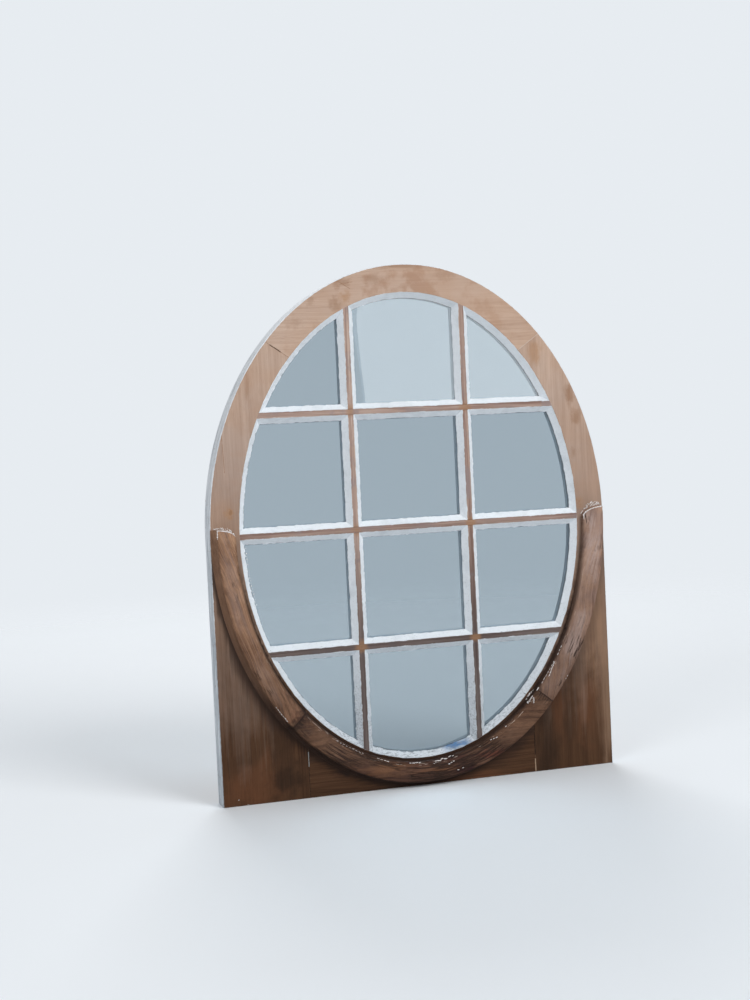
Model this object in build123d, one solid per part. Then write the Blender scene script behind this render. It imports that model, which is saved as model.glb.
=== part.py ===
"""Upright oval window of twelve panes in its own wooden frame.

The frame stands on its flat bottom edge. X runs across it, Y from the weather side to the room
side, and Z up. The origin is the middle of the bottom edge, halfway through the frame's thickness.

The flat sketches below are drawn as the window is seen from the weather side, about the middle of
the oval. A depth is measured from the weather face towards the room.
"""
import os
from math import asin, atan2, copysign, cos, degrees, inf, isfinite, radians, sin, sqrt

from build123d import *

# The oval opening and the wood round it
sight_half_width = 350.0
sight_half_height = 460.0
side_width = 58.0
head_width = 55.0
sill_width = 55.0
frame_thickness = 48.0
edge_ease = 1.5

# The rebate that holds the glass, and the splay on the room side
rebate_width = 11.0
rebate_depth = 17.0
splay_width = 10.0
splay_depth = 18.0

# Glazing bars
bar_face = 11.0
bar_tenon_width = 12.0
bar_tenon_thickness = 8.0
bar_tenon_setback = 4.0
bar_tenon_length = 20.0
bar_stub_length = 9.0

# Glass, putty and the steel points under the putty
glass_thickness = 3.0
glass_edge_gap = 1.5
glass_bed = 1.0
glass_clearance = 0.05
putty_width = 10.5
putty_land = 0.6
putty_setback = 0.5
putty_clearance = 0.05
point_width = 8.0
point_reach = 6.0
point_bite = 4.0
point_thickness = 1.0

# Joints of the frame and its moulding, as an angle round the oval from its level axis
joint_angle = 47.5
head_joint_slope = 35.0
tenon_thickness = 14.0
tenon_setback = 4.0
rail_tenon_length = 55.0
rail_tenon_height = 100.0
rail_tenon_lift = 22.0
loose_tenon_length = 90.0
loose_tenon_width = 28.0
tenon_clearance = 0.1
peg_diameter = 9.0
peg_stop = 9.0
peg_inset = 22.0
peg_clearance = 0.05

# The drip moulding planted on the lower half
drip_width = 48.0
drip_side_gap = 9.0
drip_foot_gap = 5.5
drip_inner_height = 11.0
drip_height = 24.0
drip_crown_height = 20.5
drip_crown_share = 0.42
drip_nosing = 5.0
drip_undercut = 9.0
drip_cove_height = 7.0
drip_cove_inset = 6.5
drip_butt_gap = 0.1
tongue_rise = 17.0
tongue_drop = 7.0
nail_diameter = 2.5
nail_head_diameter = 4.5
nail_head_thickness = 1.0
nail_length = 38.0
nail_in_moulding = 14.0
nail_angles = (12.0, 26.0, 40.0, 58.0, 79.0)

# Names of the panes and bars, from left to right and from the bottom up
COLUMNS = ("left", "centre", "right")
ROWS = ("bottom", "lower", "upper", "top")
UPRIGHTS = ("left", "right")
LEVELS = ("lower", "middle", "upper")

# Worked out from the sizes above
oval_z = sill_width + sight_half_height
outer_half_width = sight_half_width + side_width
outer_half_height = sight_half_height + head_width
outer_reach = 2 * outer_half_height
joint_offset = sight_half_width * cos(radians(joint_angle))
splay_start = frame_thickness - splay_depth
bar_half_face = bar_face / 2
bar_half_width = bar_half_face + rebate_width
bar_pitch_x = (2 * sight_half_width + bar_face) / len(COLUMNS)
bar_pitch_z = 2 * sight_half_height / len(ROWS)
bar_x = [(index - (len(UPRIGHTS) - 1) / 2) * bar_pitch_x for index in range(len(UPRIGHTS))]
bar_z = [(index - (len(LEVELS) - 1) / 2) * bar_pitch_z for index in range(len(LEVELS))]
glass_back = rebate_depth - glass_bed
glass_front = glass_back - glass_thickness
bar_tenon_front = rebate_depth + bar_tenon_setback
bar_tenon_back = bar_tenon_front + bar_tenon_thickness
tenon_front = rebate_depth + tenon_setback
tenon_back = tenon_front + tenon_thickness
rail_tenon_low = rail_tenon_lift - oval_z
rail_tenon_high = rail_tenon_low + rail_tenon_height
drip_path_x = sight_half_width + drip_side_gap + drip_width / 2
drip_path_z = sight_half_height + drip_foot_gap + drip_width / 2
overshoot = 1.0


def board_plane(depth):
    """The plane at a depth, facing the weather side."""
    return Plane(origin=(0, depth - frame_thickness / 2, oval_z), x_dir=(1, 0, 0), z_dir=(0, -1, 0))


def slab(sketch, front, back):
    """A sketch made solid between two depths."""
    return board_plane(back) * extrude(sketch, amount=back - front)


def tapered(front_sketch, front, back_sketch, back):
    """A solid with straight flanks from one sketch to another between two depths."""
    return board_plane(back) * loft([back_sketch, Pos(0, 0, back - front) * front_sketch], ruled=True)


def area(x_low, x_high, z_low, z_high):
    """A rectangle by its limits."""
    middle = Pos((x_low + x_high) / 2, (z_low + z_high) / 2)
    return middle * Rectangle(x_high - x_low, z_high - z_low)


def oval(inset):
    """The sight oval, made smaller all round."""
    return Ellipse(sight_half_width - inset, sight_half_height - inset)


def oval_height(x, inset=0.0):
    """How far above its middle the oval is at a distance from the centre line."""
    return (sight_half_height - inset) * sqrt(1 - (x / (sight_half_width - inset)) ** 2)


def oval_reach(z, inset=0.0):
    """How far from the centre line the oval is at a height above its middle."""
    return (sight_half_width - inset) * sqrt(1 - (z / (sight_half_height - inset)) ** 2)


def hollow():
    """The space inside the frame: sight opening, rebate, lip and splay."""
    space = slab(oval(0), -overshoot, rebate_depth)
    space += slab(oval(rebate_width), 0, splay_start)
    wide = oval(rebate_width - splay_width * (1 + overshoot / splay_depth))
    return space + tapered(oval(rebate_width), splay_start, wide, frame_thickness + overshoot)


def board():
    """The whole frame before it is hollowed and divided."""
    arch = Ellipse(outer_half_width, outer_half_height)
    arch = arch & area(-outer_half_width, outer_half_width, 0, outer_half_height)
    foot = area(-outer_half_width, outer_half_width, -oval_z, 0)
    body = slab(arch + foot, 0, frame_thickness)
    faces = body.faces().sort_by(Axis.Y)
    return chamfer(faces[0].edges() + faces[-1].edges(), edge_ease)


def head_joint(side):
    """Inner end, outward direction and middle of a head joint."""
    inner = Vector(side * joint_offset, sight_half_height * sin(radians(joint_angle)))
    outward = Vector(side * cos(radians(head_joint_slope)), sin(radians(head_joint_slope)))
    return inner, outward, inner + outward * (side_width / 2)


def head_area():
    """All that lies above the two head joints."""
    inner, outward, _ = head_joint(1)
    low = inner - outward * (joint_offset / outward.X)
    high = inner + outward * outer_half_width
    corners = ((low.X, low.Y), (high.X, high.Y), (high.X, outer_reach))
    return Polygon(*corners, *[(-x, z) for x, z in corners[:0:-1]], align=None)


def rail_tenons(clearance):
    """Both tenons of the bottom rail as one tongue right through it, or their mortises."""
    tip = joint_offset + rail_tenon_length + clearance
    sketch = area(-tip, tip, rail_tenon_low - clearance, rail_tenon_high + clearance)
    return slab(sketch, tenon_front - clearance, tenon_back + clearance)


def loose_tenon(side, clearance):
    """The separate tenon across a head joint, or its mortise."""
    _, outward, middle = head_joint(side)
    turn = Rot(0, 0, degrees(atan2(outward.Y, outward.X)))
    blank = Rectangle(loose_tenon_width + 2 * clearance, loose_tenon_length + 2 * clearance)
    return slab(Pos(middle.X, middle.Y) * turn * blank, tenon_front - clearance, tenon_back + clearance)


def peg_centres():
    """Where the pegs stand: one on each side of a head joint and two through each rail tenon."""
    centres = []
    for side in (-1, 1):
        _, outward, middle = head_joint(side)
        across = Vector(-outward.Y, outward.X) * peg_inset
        centres += [middle + across, middle - across]
        for height in (rail_tenon_low + peg_inset, rail_tenon_high - peg_inset):
            centres.append(Vector(side * (joint_offset + peg_inset), height))
    return centres


def peg(centre, clearance):
    """A wooden peg driven from the room side, or its hole."""
    disc = Pos(centre.X, centre.Y) * Circle(peg_diameter / 2 + clearance)
    return slab(disc, peg_stop - clearance, frame_thickness)


def bar_section():
    """Section of a glazing bar: fillet between the panes, rebates and splayed room side."""
    front = -frame_thickness / 2
    nose = bar_half_width - splay_width
    half = [(bar_half_face, front), (bar_half_face, front + rebate_depth)]
    half += [(bar_half_width, front + rebate_depth), (bar_half_width, front + splay_start)]
    half.append((nose, front + frame_thickness))
    return Polygon(*half, *[(-x, y) for x, y in reversed(half)], align=None)


def upright_blank(x, low, high):
    """An upright bar of full section between two heights."""
    return Pos(x, 0, oval_z + low) * extrude(bar_section(), amount=high - low)


def level_blank(z):
    """A level bar of full section, longer than the oval is wide."""
    bar = extrude(bar_section(), amount=2 * outer_half_width)
    return Pos(-outer_half_width, 0, oval_z + z) * Rot(0, 90, 0) * bar


def level_tongue(z, clearance):
    """Both tenons of a level bar as one tongue right through it, or their mortises."""
    half = bar_tenon_width / 2 + clearance
    tip = oval_reach(z, rebate_width) + bar_tenon_length + clearance
    sketch = area(-tip, tip, z - half, z + half)
    return slab(sketch, bar_tenon_front - clearance, bar_tenon_back + clearance)


def upright_tongue(x, row, clearance):
    """Both tenons of an upright bar as one tongue right through it, or their mortises."""
    half = bar_tenon_width / 2 + clearance
    stub = bar_half_width - bar_stub_length - clearance
    tip = oval_height(x, rebate_width) + bar_tenon_length + clearance
    low = bar_z[row - 1] + stub if row > 0 else -tip
    high = bar_z[row] - stub if row < len(bar_z) else tip
    sketch = area(x - half, x + half, low, high)
    return slab(sketch, bar_tenon_front - clearance, bar_tenon_back + clearance)


def oval_arc(start, end, inset):
    """The stretch of the oval from one point on it round to another."""
    wide, high = sight_half_width - inset, sight_half_height - inset
    turns = [degrees(atan2(z / high, x / wide)) for x, z in (start, end)]
    return Edge.make_ellipse(wide, high, Plane.XY, turns[0], turns[0] + (turns[1] - turns[0]) % 360)


def opening(column, row, inset):
    """One pane's opening, bounded by the bars and the oval, made smaller all round."""
    x_limits = [-inf, *bar_x, inf]
    z_limits = [-inf, *bar_z, inf]
    edge = bar_half_face + inset
    x_low, x_high = x_limits[column] + edge, x_limits[column + 1] - edge
    z_low, z_high = z_limits[row] + edge, z_limits[row + 1] - edge
    corners = []
    for x, z in ((x_low, z_low), (x_high, z_low), (x_high, z_high), (x_low, z_high)):
        if isfinite(x) and isfinite(z):
            corners.append((x, z, False))
        elif isfinite(z):
            corners.append((copysign(oval_reach(z, inset), x), z, True))
        elif isfinite(x):
            corners.append((x, copysign(oval_height(x, inset), z), True))
    sides = []
    for (*start, start_on_oval), (*end, end_on_oval) in zip(corners, corners[1:] + corners[:1]):
        curved = start_on_oval and end_on_oval
        sides.append(oval_arc(start, end, inset) if curved else Edge.make_line(start, end))
    return Sketch() + Face(Wire(sides))


def pane(column, row, clearance=0.0):
    """A sheet of glass, or the groove for its edges."""
    sketch = opening(column, row, glass_edge_gap - clearance)
    return slab(sketch, glass_front - clearance, glass_back + clearance)


def putty(column, row):
    """The putty round one pane: sloping bead in front, bed behind, and the groove between them."""
    bead = slab(opening(column, row, putty_clearance), putty_setback, rebate_depth - putty_clearance)
    slope = (putty_width - putty_land) / (glass_front - putty_setback)
    rim = opening(column, row, putty_land - slope * overshoot)
    foot = opening(column, row, putty_width)
    bead -= tapered(rim, putty_setback - overshoot, foot, glass_front)
    bead -= slab(foot, glass_front - overshoot, rebate_depth)
    return bead - pane(column, row, glass_clearance)


def steel_points(column, row):
    """A small steel triangle on the glass at the middle of each side, pressed into the wood."""
    outline = opening(column, row, 0)
    corners = ((-point_bite, -point_width / 2), (point_reach, 0), (-point_bite, point_width / 2))
    points = []
    for side in outline.edges():
        middle = side @ 0.5
        inward = Vector(-(side % 0.5).Y, (side % 0.5).X)
        inward *= 1 if inward.dot(outline.center() - middle) > 0 else -1
        turn = Rot(0, 0, degrees(atan2(inward.Y, inward.X)))
        blank = Pos(middle.X, middle.Y) * turn * Polygon(*corners, align=None)
        points.append(slab(blank, glass_front - point_thickness, glass_front))
    return points


def drip_profile():
    """Section of the drip moulding: across from its middle, and up from the weather face."""
    inner, foot = -drip_width / 2, drip_width / 2
    arris = foot - drip_undercut
    crown = (inner + (arris - inner) * drip_crown_share, drip_crown_height)
    nosing = (arris, drip_height - drip_nosing)
    lines = Polyline((arris, drip_height), nosing)
    lines += ThreePointArc(nosing, (foot - drip_cove_inset, drip_cove_height), (foot, 0))
    lines += Polyline((foot, 0), (inner, 0), (inner, drip_inner_height))
    lines += ThreePointArc((inner, drip_inner_height), crown, (arris, drip_height))
    return make_face(lines)


def drip_run(start, end):
    """A length of drip moulding between two angles of its oval path."""
    path = Edge.make_ellipse(drip_path_x, drip_path_z, Plane.XY, start, end)
    origin = path @ 0
    outward = Vector(origin.X / drip_path_x ** 2, origin.Y / drip_path_z ** 2).normalized()
    across = Plane(origin=origin, x_dir=outward, z_dir=outward.cross(Vector(0, 0, 1)))
    return board_plane(0) * sweep(across * drip_profile(), path=path)


def tongue_waste():
    """What is cut away to round the top end of the right-hand moulding."""
    block = area(drip_path_x - drip_width, drip_path_x + drip_width, -tongue_drop, tongue_rise + drip_width)
    keep = Pos(drip_path_x + drip_width / 2, -tongue_drop) * Ellipse(drip_width, tongue_rise + tongue_drop)
    return slab(block - keep, -drip_height - overshoot, 0)


def nail_centres():
    """Where the moulding is nailed to the frame, on both sides of the centre line."""
    turns = [radians(angle) for angle in nail_angles]
    turns += [radians(180 - angle) for angle in nail_angles]
    return [Vector(drip_path_x * cos(turn), -drip_path_z * sin(turn)) for turn in turns]


def nail(centre):
    """A nail with its head punched below the moulding's surface."""
    place = Pos(centre.X, centre.Y)
    under_head = nail_head_thickness - nail_in_moulding
    head = slab(place * Circle(nail_head_diameter / 2), -nail_in_moulding, under_head)
    return head + slab(place * Circle(nail_diameter / 2), under_head, nail_length - nail_in_moulding)


def save(node, *shapes):
    """One file for each node, whose solids are separate pieces."""
    solids = [solid for shape in shapes for solid in shape.solids()]
    export_step(solids[0] if len(solids) == 1 else Compound(children=solids), f"parts/{node}.step")


def save_frame(space, uprights, points, nails):
    """The four pieces of the frame, with the loose tenons and pegs that lock them."""
    pegs = [peg(centre, 0) for centre in peg_centres()]
    peg_holes = [peg(centre, peg_clearance) for centre in peg_centres()]
    cuts = [level_tongue(z, tenon_clearance) for z in bar_z]
    cuts += [upright_tongue(x, row, tenon_clearance) for x, row in uprights if row in (0, len(bar_z))]
    cuts += [loose_tenon(side, tenon_clearance) for side in (-1, 1)]
    cuts += [space, *peg_holes, *points, *nails]

    whole = board()
    upper = slab(head_area(), -overshoot, frame_thickness + overshoot)
    lower = slab(area(-joint_offset, joint_offset, -outer_reach, 0), -overshoot, frame_thickness + overshoot)
    save("frame_head", (whole & upper) - cuts)
    save("frame_bottom_rail", ((whole & lower) + rail_tenons(0)) - cuts)
    stiles = (whole - [upper, lower, rail_tenons(tenon_clearance), *cuts]).solids().sort_by(Axis.X)
    save("frame_left_stile", stiles[0])
    save("frame_right_stile", stiles[-1])
    save("joint_tenons", *[loose_tenon(side, 0) - peg_holes for side in (-1, 1)])
    save("joint_pegs", *pegs)


def save_bars(space, uprights, points):
    """The level bars, and the upright bars that stand between them."""
    stub_mortises = [upright_tongue(x, row, tenon_clearance) for x, row in uprights]
    for z, name in zip(bar_z, LEVELS):
        bar = (level_blank(z) & space) + level_tongue(z, 0)
        save(f"level_bar_{name}", bar - [*stub_mortises, *points])
    level_blanks = [level_blank(z) for z in bar_z]
    limits = [-outer_half_height, *bar_z, outer_half_height]
    for x, row in uprights:
        bar = (upright_blank(x, limits[row], limits[row + 1]) & space) - level_blanks
        bar = (bar + upright_tongue(x, row, 0)) - points
        save(f"upright_bar_{UPRIGHTS[bar_x.index(x)]}_{ROWS[row]}", bar)


def save_moulding(nails):
    """The three lengths of drip moulding."""
    end = degrees(asin((tongue_rise + drip_width / 2) / drip_path_z))
    butt = degrees(drip_butt_gap / drip_path_z)
    right = drip_run(butt - joint_angle, end) - tongue_waste()
    save("drip_right", right - nails)
    save("drip_left", mirror(right, about=Plane.YZ) - nails)
    save("drip_bottom", drip_run(joint_angle - 180, -joint_angle) - nails)
    save("drip_nails", *nails)


def main():
    os.makedirs("parts", exist_ok=True)
    space = hollow()
    uprights = [(x, row) for x in bar_x for row in range(len(ROWS))]
    nails = [nail(centre) for centre in nail_centres()]
    points = []
    for column, side in enumerate(COLUMNS):
        for row, level in enumerate(ROWS):
            own_points = steel_points(column, row)
            save(f"pane_{level}_{side}", pane(column, row))
            save(f"putty_{level}_{side}", putty(column, row) - own_points)
            points += own_points
    save("glazing_points", *points)
    save_frame(space, uprights, points, nails)
    save_bars(space, uprights, points)
    save_moulding(nails)


main()
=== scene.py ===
"""Looks of an upright oval window of twelve panes, in its wooden frame.

Everything is in metres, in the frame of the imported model: X across, Y from the weather side to the
room side, Z up from the bottom edge. It is laid out as an add-on and run as a script.
"""
from math import atan2, cos, inf, isfinite, pi, radians, sin, sqrt

import bmesh
import bpy
from bpy.props import FloatProperty, FloatVectorProperty, PointerProperty
from mathutils import Matrix, Vector, noise


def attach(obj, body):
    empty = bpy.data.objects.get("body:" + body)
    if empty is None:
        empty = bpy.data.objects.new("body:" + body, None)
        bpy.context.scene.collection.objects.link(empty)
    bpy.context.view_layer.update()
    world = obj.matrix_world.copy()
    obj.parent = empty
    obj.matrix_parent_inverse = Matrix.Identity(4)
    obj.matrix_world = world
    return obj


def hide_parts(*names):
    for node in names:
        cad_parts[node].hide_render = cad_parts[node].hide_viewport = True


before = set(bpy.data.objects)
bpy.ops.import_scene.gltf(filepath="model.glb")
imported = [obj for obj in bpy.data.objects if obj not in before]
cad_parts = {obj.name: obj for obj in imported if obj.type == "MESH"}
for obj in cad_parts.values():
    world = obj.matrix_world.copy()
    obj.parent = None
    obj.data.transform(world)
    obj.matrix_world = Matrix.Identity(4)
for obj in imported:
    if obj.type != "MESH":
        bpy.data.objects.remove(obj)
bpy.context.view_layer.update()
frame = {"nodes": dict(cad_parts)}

bl_info = {
    "name": "Oval window",
    "version": (1, 0, 0),
    "blender": (4, 5, 0),
    "location": "View3D > Sidebar > Oval window",
    "description": "Makes the putty, moulding, paint remains and finishes of an oval window",
    "category": "Add Mesh",
}

COLUMNS = ("left", "centre", "right")
ROWS = ("bottom", "lower", "upper", "top")
LEVELS = ("lower", "middle", "upper")
UPRIGHTS = ("left", "right")

# Stains and knots of the frame, where the photograph shows them. Each row is a colour, the middle
# and the half sizes in metres across and up, the strength and, for some, the colour of a heart.
HEAD_SPOTS = (
    ("brown", (-0.1225, 0.9955), (0.018, 0.011), 0.6),
    ("brown", (-0.0602, 1.0012), (0.024, 0.014), 0.5),
    ("brown", (-0.1394, 0.9544), (0.016, 0.018), 0.6),
    ("knot", (-0.1190, 0.9680), (0.014, 0.016), 0.6),
    ("brown", (-0.1890, 0.9612), (0.012, 0.014), 0.4),
    ("brown", (-0.2209, 0.9198), (0.022, 0.016), 0.35),
    ("brown", (0.0100, 1.0280), (0.085, 0.010), 0.55),
    ("brown", (0.0900, 1.0100), (0.022, 0.016), 0.4),
)
LEFT_STILE_SPOTS = (
    ("knot", (-0.3685, 0.5614), (0.012, 0.014), 0.7, "brown"),
    ("brown", (-0.3205, 0.8000), (0.007, 0.040), 0.45),
    ("damp", (-0.2765, 0.0350), (0.046, 0.050), 0.95),
    ("damp", (-0.2900, 0.1150), (0.032, 0.095), 0.65),
    ("low_red", (-0.3700, 0.0220), (0.050, 0.030), 0.35),
)
RIGHT_STILE_SPOTS = (
    ("knot", (0.2712, 0.8453), (0.018, 0.030), 0.6),
    ("brown", (0.3441, 0.7621), (0.013, 0.028), 0.8),
    ("brown", (0.3575, 0.7169), (0.014, 0.022), 0.7),
    ("brown", (0.3475, 0.6441), (0.008, 0.014), 0.5),
    ("knot", (0.3562, 0.5418), (0.012, 0.016), 0.45, "brown"),
    ("damp", (0.2620, 0.0500), (0.040, 0.110), 0.9),
    ("damp", (0.3000, 0.1100), (0.040, 0.090), 0.5),
    ("faded", (0.4020, 0.1500), (0.034, 0.240), 0.9),
    ("tan", (0.3800, 0.3100), (0.055, 0.130), 0.6),
    ("low_red", (0.2900, 0.1600), (0.030, 0.120), 0.45),
)
RAIL_SPOTS = (
    ("stain", (-0.1660, 0.0430), (0.024, 0.013), 0.9, "stain"),
    ("low_red", (0.1300, 0.0040), (0.120, 0.014), 0.6),
    ("damp", (-0.0200, 0.0200), (0.100, 0.016), 0.7),
    ("damp", (0.1900, 0.0600), (0.040, 0.016), 0.5),
)

# Stains of the moulding, given in the same way
NOTCH = ("notch", (-0.239, 0.176), (0.009, 0.005), 0.95)
LEFT_MOULDING_SPOTS = (
    ("drip_umber", (-0.262, 0.165), (0.026, 0.016), 0.6),
    NOTCH,
)
BOTTOM_MOULDING_SPOTS = (
    NOTCH,
    ("drip_purple", (0.074, 0.030), (0.030, 0.014), 0.85),
    ("stain", (0.022, 0.016), (0.040, 0.007), 0.8),
    ("drip_rust", (0.140, 0.052), (0.040, 0.010), 0.6),
    ("drip_tan", (-0.070, 0.045), (0.085, 0.016), 0.5),
    ("drip_brown", (0.020, 0.033), (0.060, 0.007), 0.5),
    ("drip_plum", (0.030, 0.050), (0.130, 0.010), 0.75),
)

# Thin lines on the frame, apart from its joints: colour, start, end and width
HEAD_KNOT_LINES = (
    ("brown", (-0.1341, 0.9994), (-0.1087, 0.9839), 0.0016),
    ("brown", (-0.1295, 0.9918), (-0.1030, 0.9963), 0.0014),
)
LEFT_STILE_CRACK = ("brown", (-0.3757, 0.7195), (-0.3731, 0.6397), 0.0014)

# Broken rows of old paint on the moulding, where the photograph shows them. Each end of a row is an
# angle round the oval in degrees and a place across the moulding. Then come the number of flecks,
# and their length and width.
FLECK_ROWS = (
    ((-106.8, -0.0220), (-102.4, -0.0205), 4, 0.0085, 0.0024),
    ((-96.0, -0.0216), (-91.8, -0.0224), 4, 0.0085, 0.0026),
    ((-87.4, -0.0214), (-83.2, -0.0224), 4, 0.0090, 0.0030),
    ((-88.0, -0.0176), (-86.8, -0.0190), 2, 0.0040, 0.0018),
    ((-83.4, -0.0112), (-81.0, -0.0148), 3, 0.0060, 0.0030),
    ((-82.6, -0.0230), (-80.4, -0.0230), 2, 0.0070, 0.0018),
    ((-81.6, 0.0035), (-78.6, 0.0036), 2, 0.0060, 0.0014),
    ((-68.2, -0.0190), (-65.4, -0.0160), 3, 0.0065, 0.0020),
    ((-62.2, -0.0220), (-61.0, -0.0205), 1, 0.0060, 0.0022),
    ((-120.8, -0.0200), (-111.0, -0.0225), 9, 0.0060, 0.0014),
    ((-33.4, -0.0224), (-36.6, -0.0220), 3, 0.0085, 0.0016),
    ((-38.2, -0.0220), (-42.8, -0.0178), 5, 0.0095, 0.0022),
    ((-38.0, -0.0228), (-45.4, -0.0222), 7, 0.0085, 0.0015),
    ((-46.6, -0.0230), (-47.8, -0.0228), 2, 0.0060, 0.0026),
    ((-39.6, 0.0132), (-41.2, 0.0132), 2, 0.0045, 0.0016),
)
LEFT_FLECK_ROW = ((-40.5, 0.0135), (-45.5, 0.0138), 7, 0.0060, 0.0018)
HEAPED_FLECK_ROWS = (
    ((-49.6, -0.0226), (-52.2, -0.0214), 5, 0.0070, 0.0036),
    ((-49.9, -0.0200), (-51.0, -0.0135), 4, 0.0070, 0.0028),
)

# Crumbs beside the right joint of the moulding: across, up, length and lean
JOINT_CRUMBS = (
    (0.2295, 0.1600, 0.0075, 0.9),
    (0.2262, 0.1565, 0.0060, -0.5),
    (0.2330, 0.1622, 0.0060, 0.3),
    (0.2385, 0.1660, 0.0055, 0.6),
    (0.2225, 0.1500, 0.0050, 0.2),
)

# Crumbs at the foot of the left stile: start and end of a row, and how many
STILE_CRUMBS = (
    ((-0.363, 0.0018), (-0.357, 0.0016), 2),
    ((-0.380, 0.0120), (-0.376, 0.0132), 2),
)

# Cracks in the putty, beside the moulding's joints: start and end
PUTTY_CRACKS = (
    ((0.2190, 0.1620), (0.2300, 0.1545)),
    ((-0.2375, 0.1745), (-0.2265, 0.1600)),
)

# The lamps: name, place, what it points at, width and height, and power in watts
LAMPS = (
    ("key", (3.4, -6.4, 5.6), (0.0, 0.0, 0.5), (4.0, 4.0), 385),
    ("window light", (2.30, -5.0, 1.86), (0.2, 0.0, 0.8), (1.7, 2.1), 36),
    ("fill", (-6.0, -5.2, 4.0), (0.0, 0.0, 0.5), (3.5, 3.5), 150),
    ("rear", (1.0, 6.8, 5.4), (0.0, 0.0, 0.5), (4.0, 4.0), 330),
)

# The camera stands and looks as the photograph's does
CAMERA_EYE = (-0.95597, -2.92214, 0.70380)
CAMERA_FORWARD = (0.28982, 0.95608, -0.04378)
CAMERA_UP = (0.05808, 0.02809, 0.99792)
CAMERA_LENS = 55.8
SENSOR_WIDTH = 36.0

# The surroundings: their strength as light, and how much brighter they look when seen
SURROUNDINGS_LIGHT = 0.36
SEEN_BRIGHTER = 0.64


# Sizes and colours that a user would change

def length(name, description, default):
    """A length in metres that the sidebar shows."""
    return FloatProperty(name=name, description=description, default=default, min=0.0,
                         subtype="DISTANCE", unit="LENGTH", precision=4)


def tint(name, description, default):
    """A colour that the sidebar shows."""
    return FloatVectorProperty(name=name, description=description, default=default, size=3,
                               subtype="COLOR", min=0.0, max=1.0)


class WindowSizes(bpy.types.PropertyGroup):
    """Sizes of the window, as its solids have them."""

    half_width: length("Oval half width", "Half the width of the sight oval", 0.350)
    half_height: length("Oval half height", "Half the height of the sight oval", 0.460)
    oval_z: length("Oval middle", "Height of the oval's middle above the bottom edge", 0.515)
    outer_half_width: length("Frame half width", "Half the width of the whole frame", 0.408)
    outer_half_height: length("Arch rise", "Rise of the frame's arch above the oval's middle", 0.515)
    thickness: length("Frame thickness", "Thickness of frame and bars", 0.048)
    bar_face: length("Bar face", "Width of a glazing bar between its rebates", 0.011)
    rebate_width: length("Rebate width", "Width of the rebates round the glass", 0.011)
    rebate_depth: length("Rebate depth", "Depth of the rebates from the weather face", 0.017)
    glass_front: length("Glass face", "Depth of the glass from the weather face", 0.013)
    glass_back: length("Glass back", "Depth of the back of the glass", 0.016)
    glass_gap: length("Glass gap", "Gap between the glass and the wood", 0.0015)
    putty_width: length("Putty width", "Width of the putty on the glass", 0.0105)
    putty_land: length("Putty land", "Flat strip along the putty's outer edge", 0.0006)
    putty_setback: length("Putty setback", "How far the putty stays behind the weather face", 0.0005)
    drip_half_width: length("Moulding path half width", "Half the width of the moulding's path", 0.383)
    drip_half_height: length("Moulding path half height", "Half the height of the moulding's path", 0.4895)
    drip_width: length("Moulding width", "Width of the drip moulding", 0.048)
    drip_height: length("Moulding height", "How far the drip moulding stands proud", 0.024)
    tongue_rise: length("Tongue rise", "Rise of the moulding's tips above the oval's middle", 0.017)
    tongue_drop: length("Tongue drop", "Drop of the tips' inner ends below the oval's middle", 0.007)
    tongue_round: FloatProperty(name="Tongue roundness",
                                description="Power of the curve of the moulding's tips",
                                default=2.5, min=2.0, max=4.0)
    head_slope: FloatProperty(name="Head joint slope",
                              description="Slope of the joints between head and stiles",
                              default=radians(35.0), subtype="ANGLE", unit="ROTATION")
    joint_angle: FloatProperty(name="Joint angle",
                               description="Place of the moulding's joints round the oval",
                               default=radians(47.5), subtype="ANGLE", unit="ROTATION")


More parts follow.
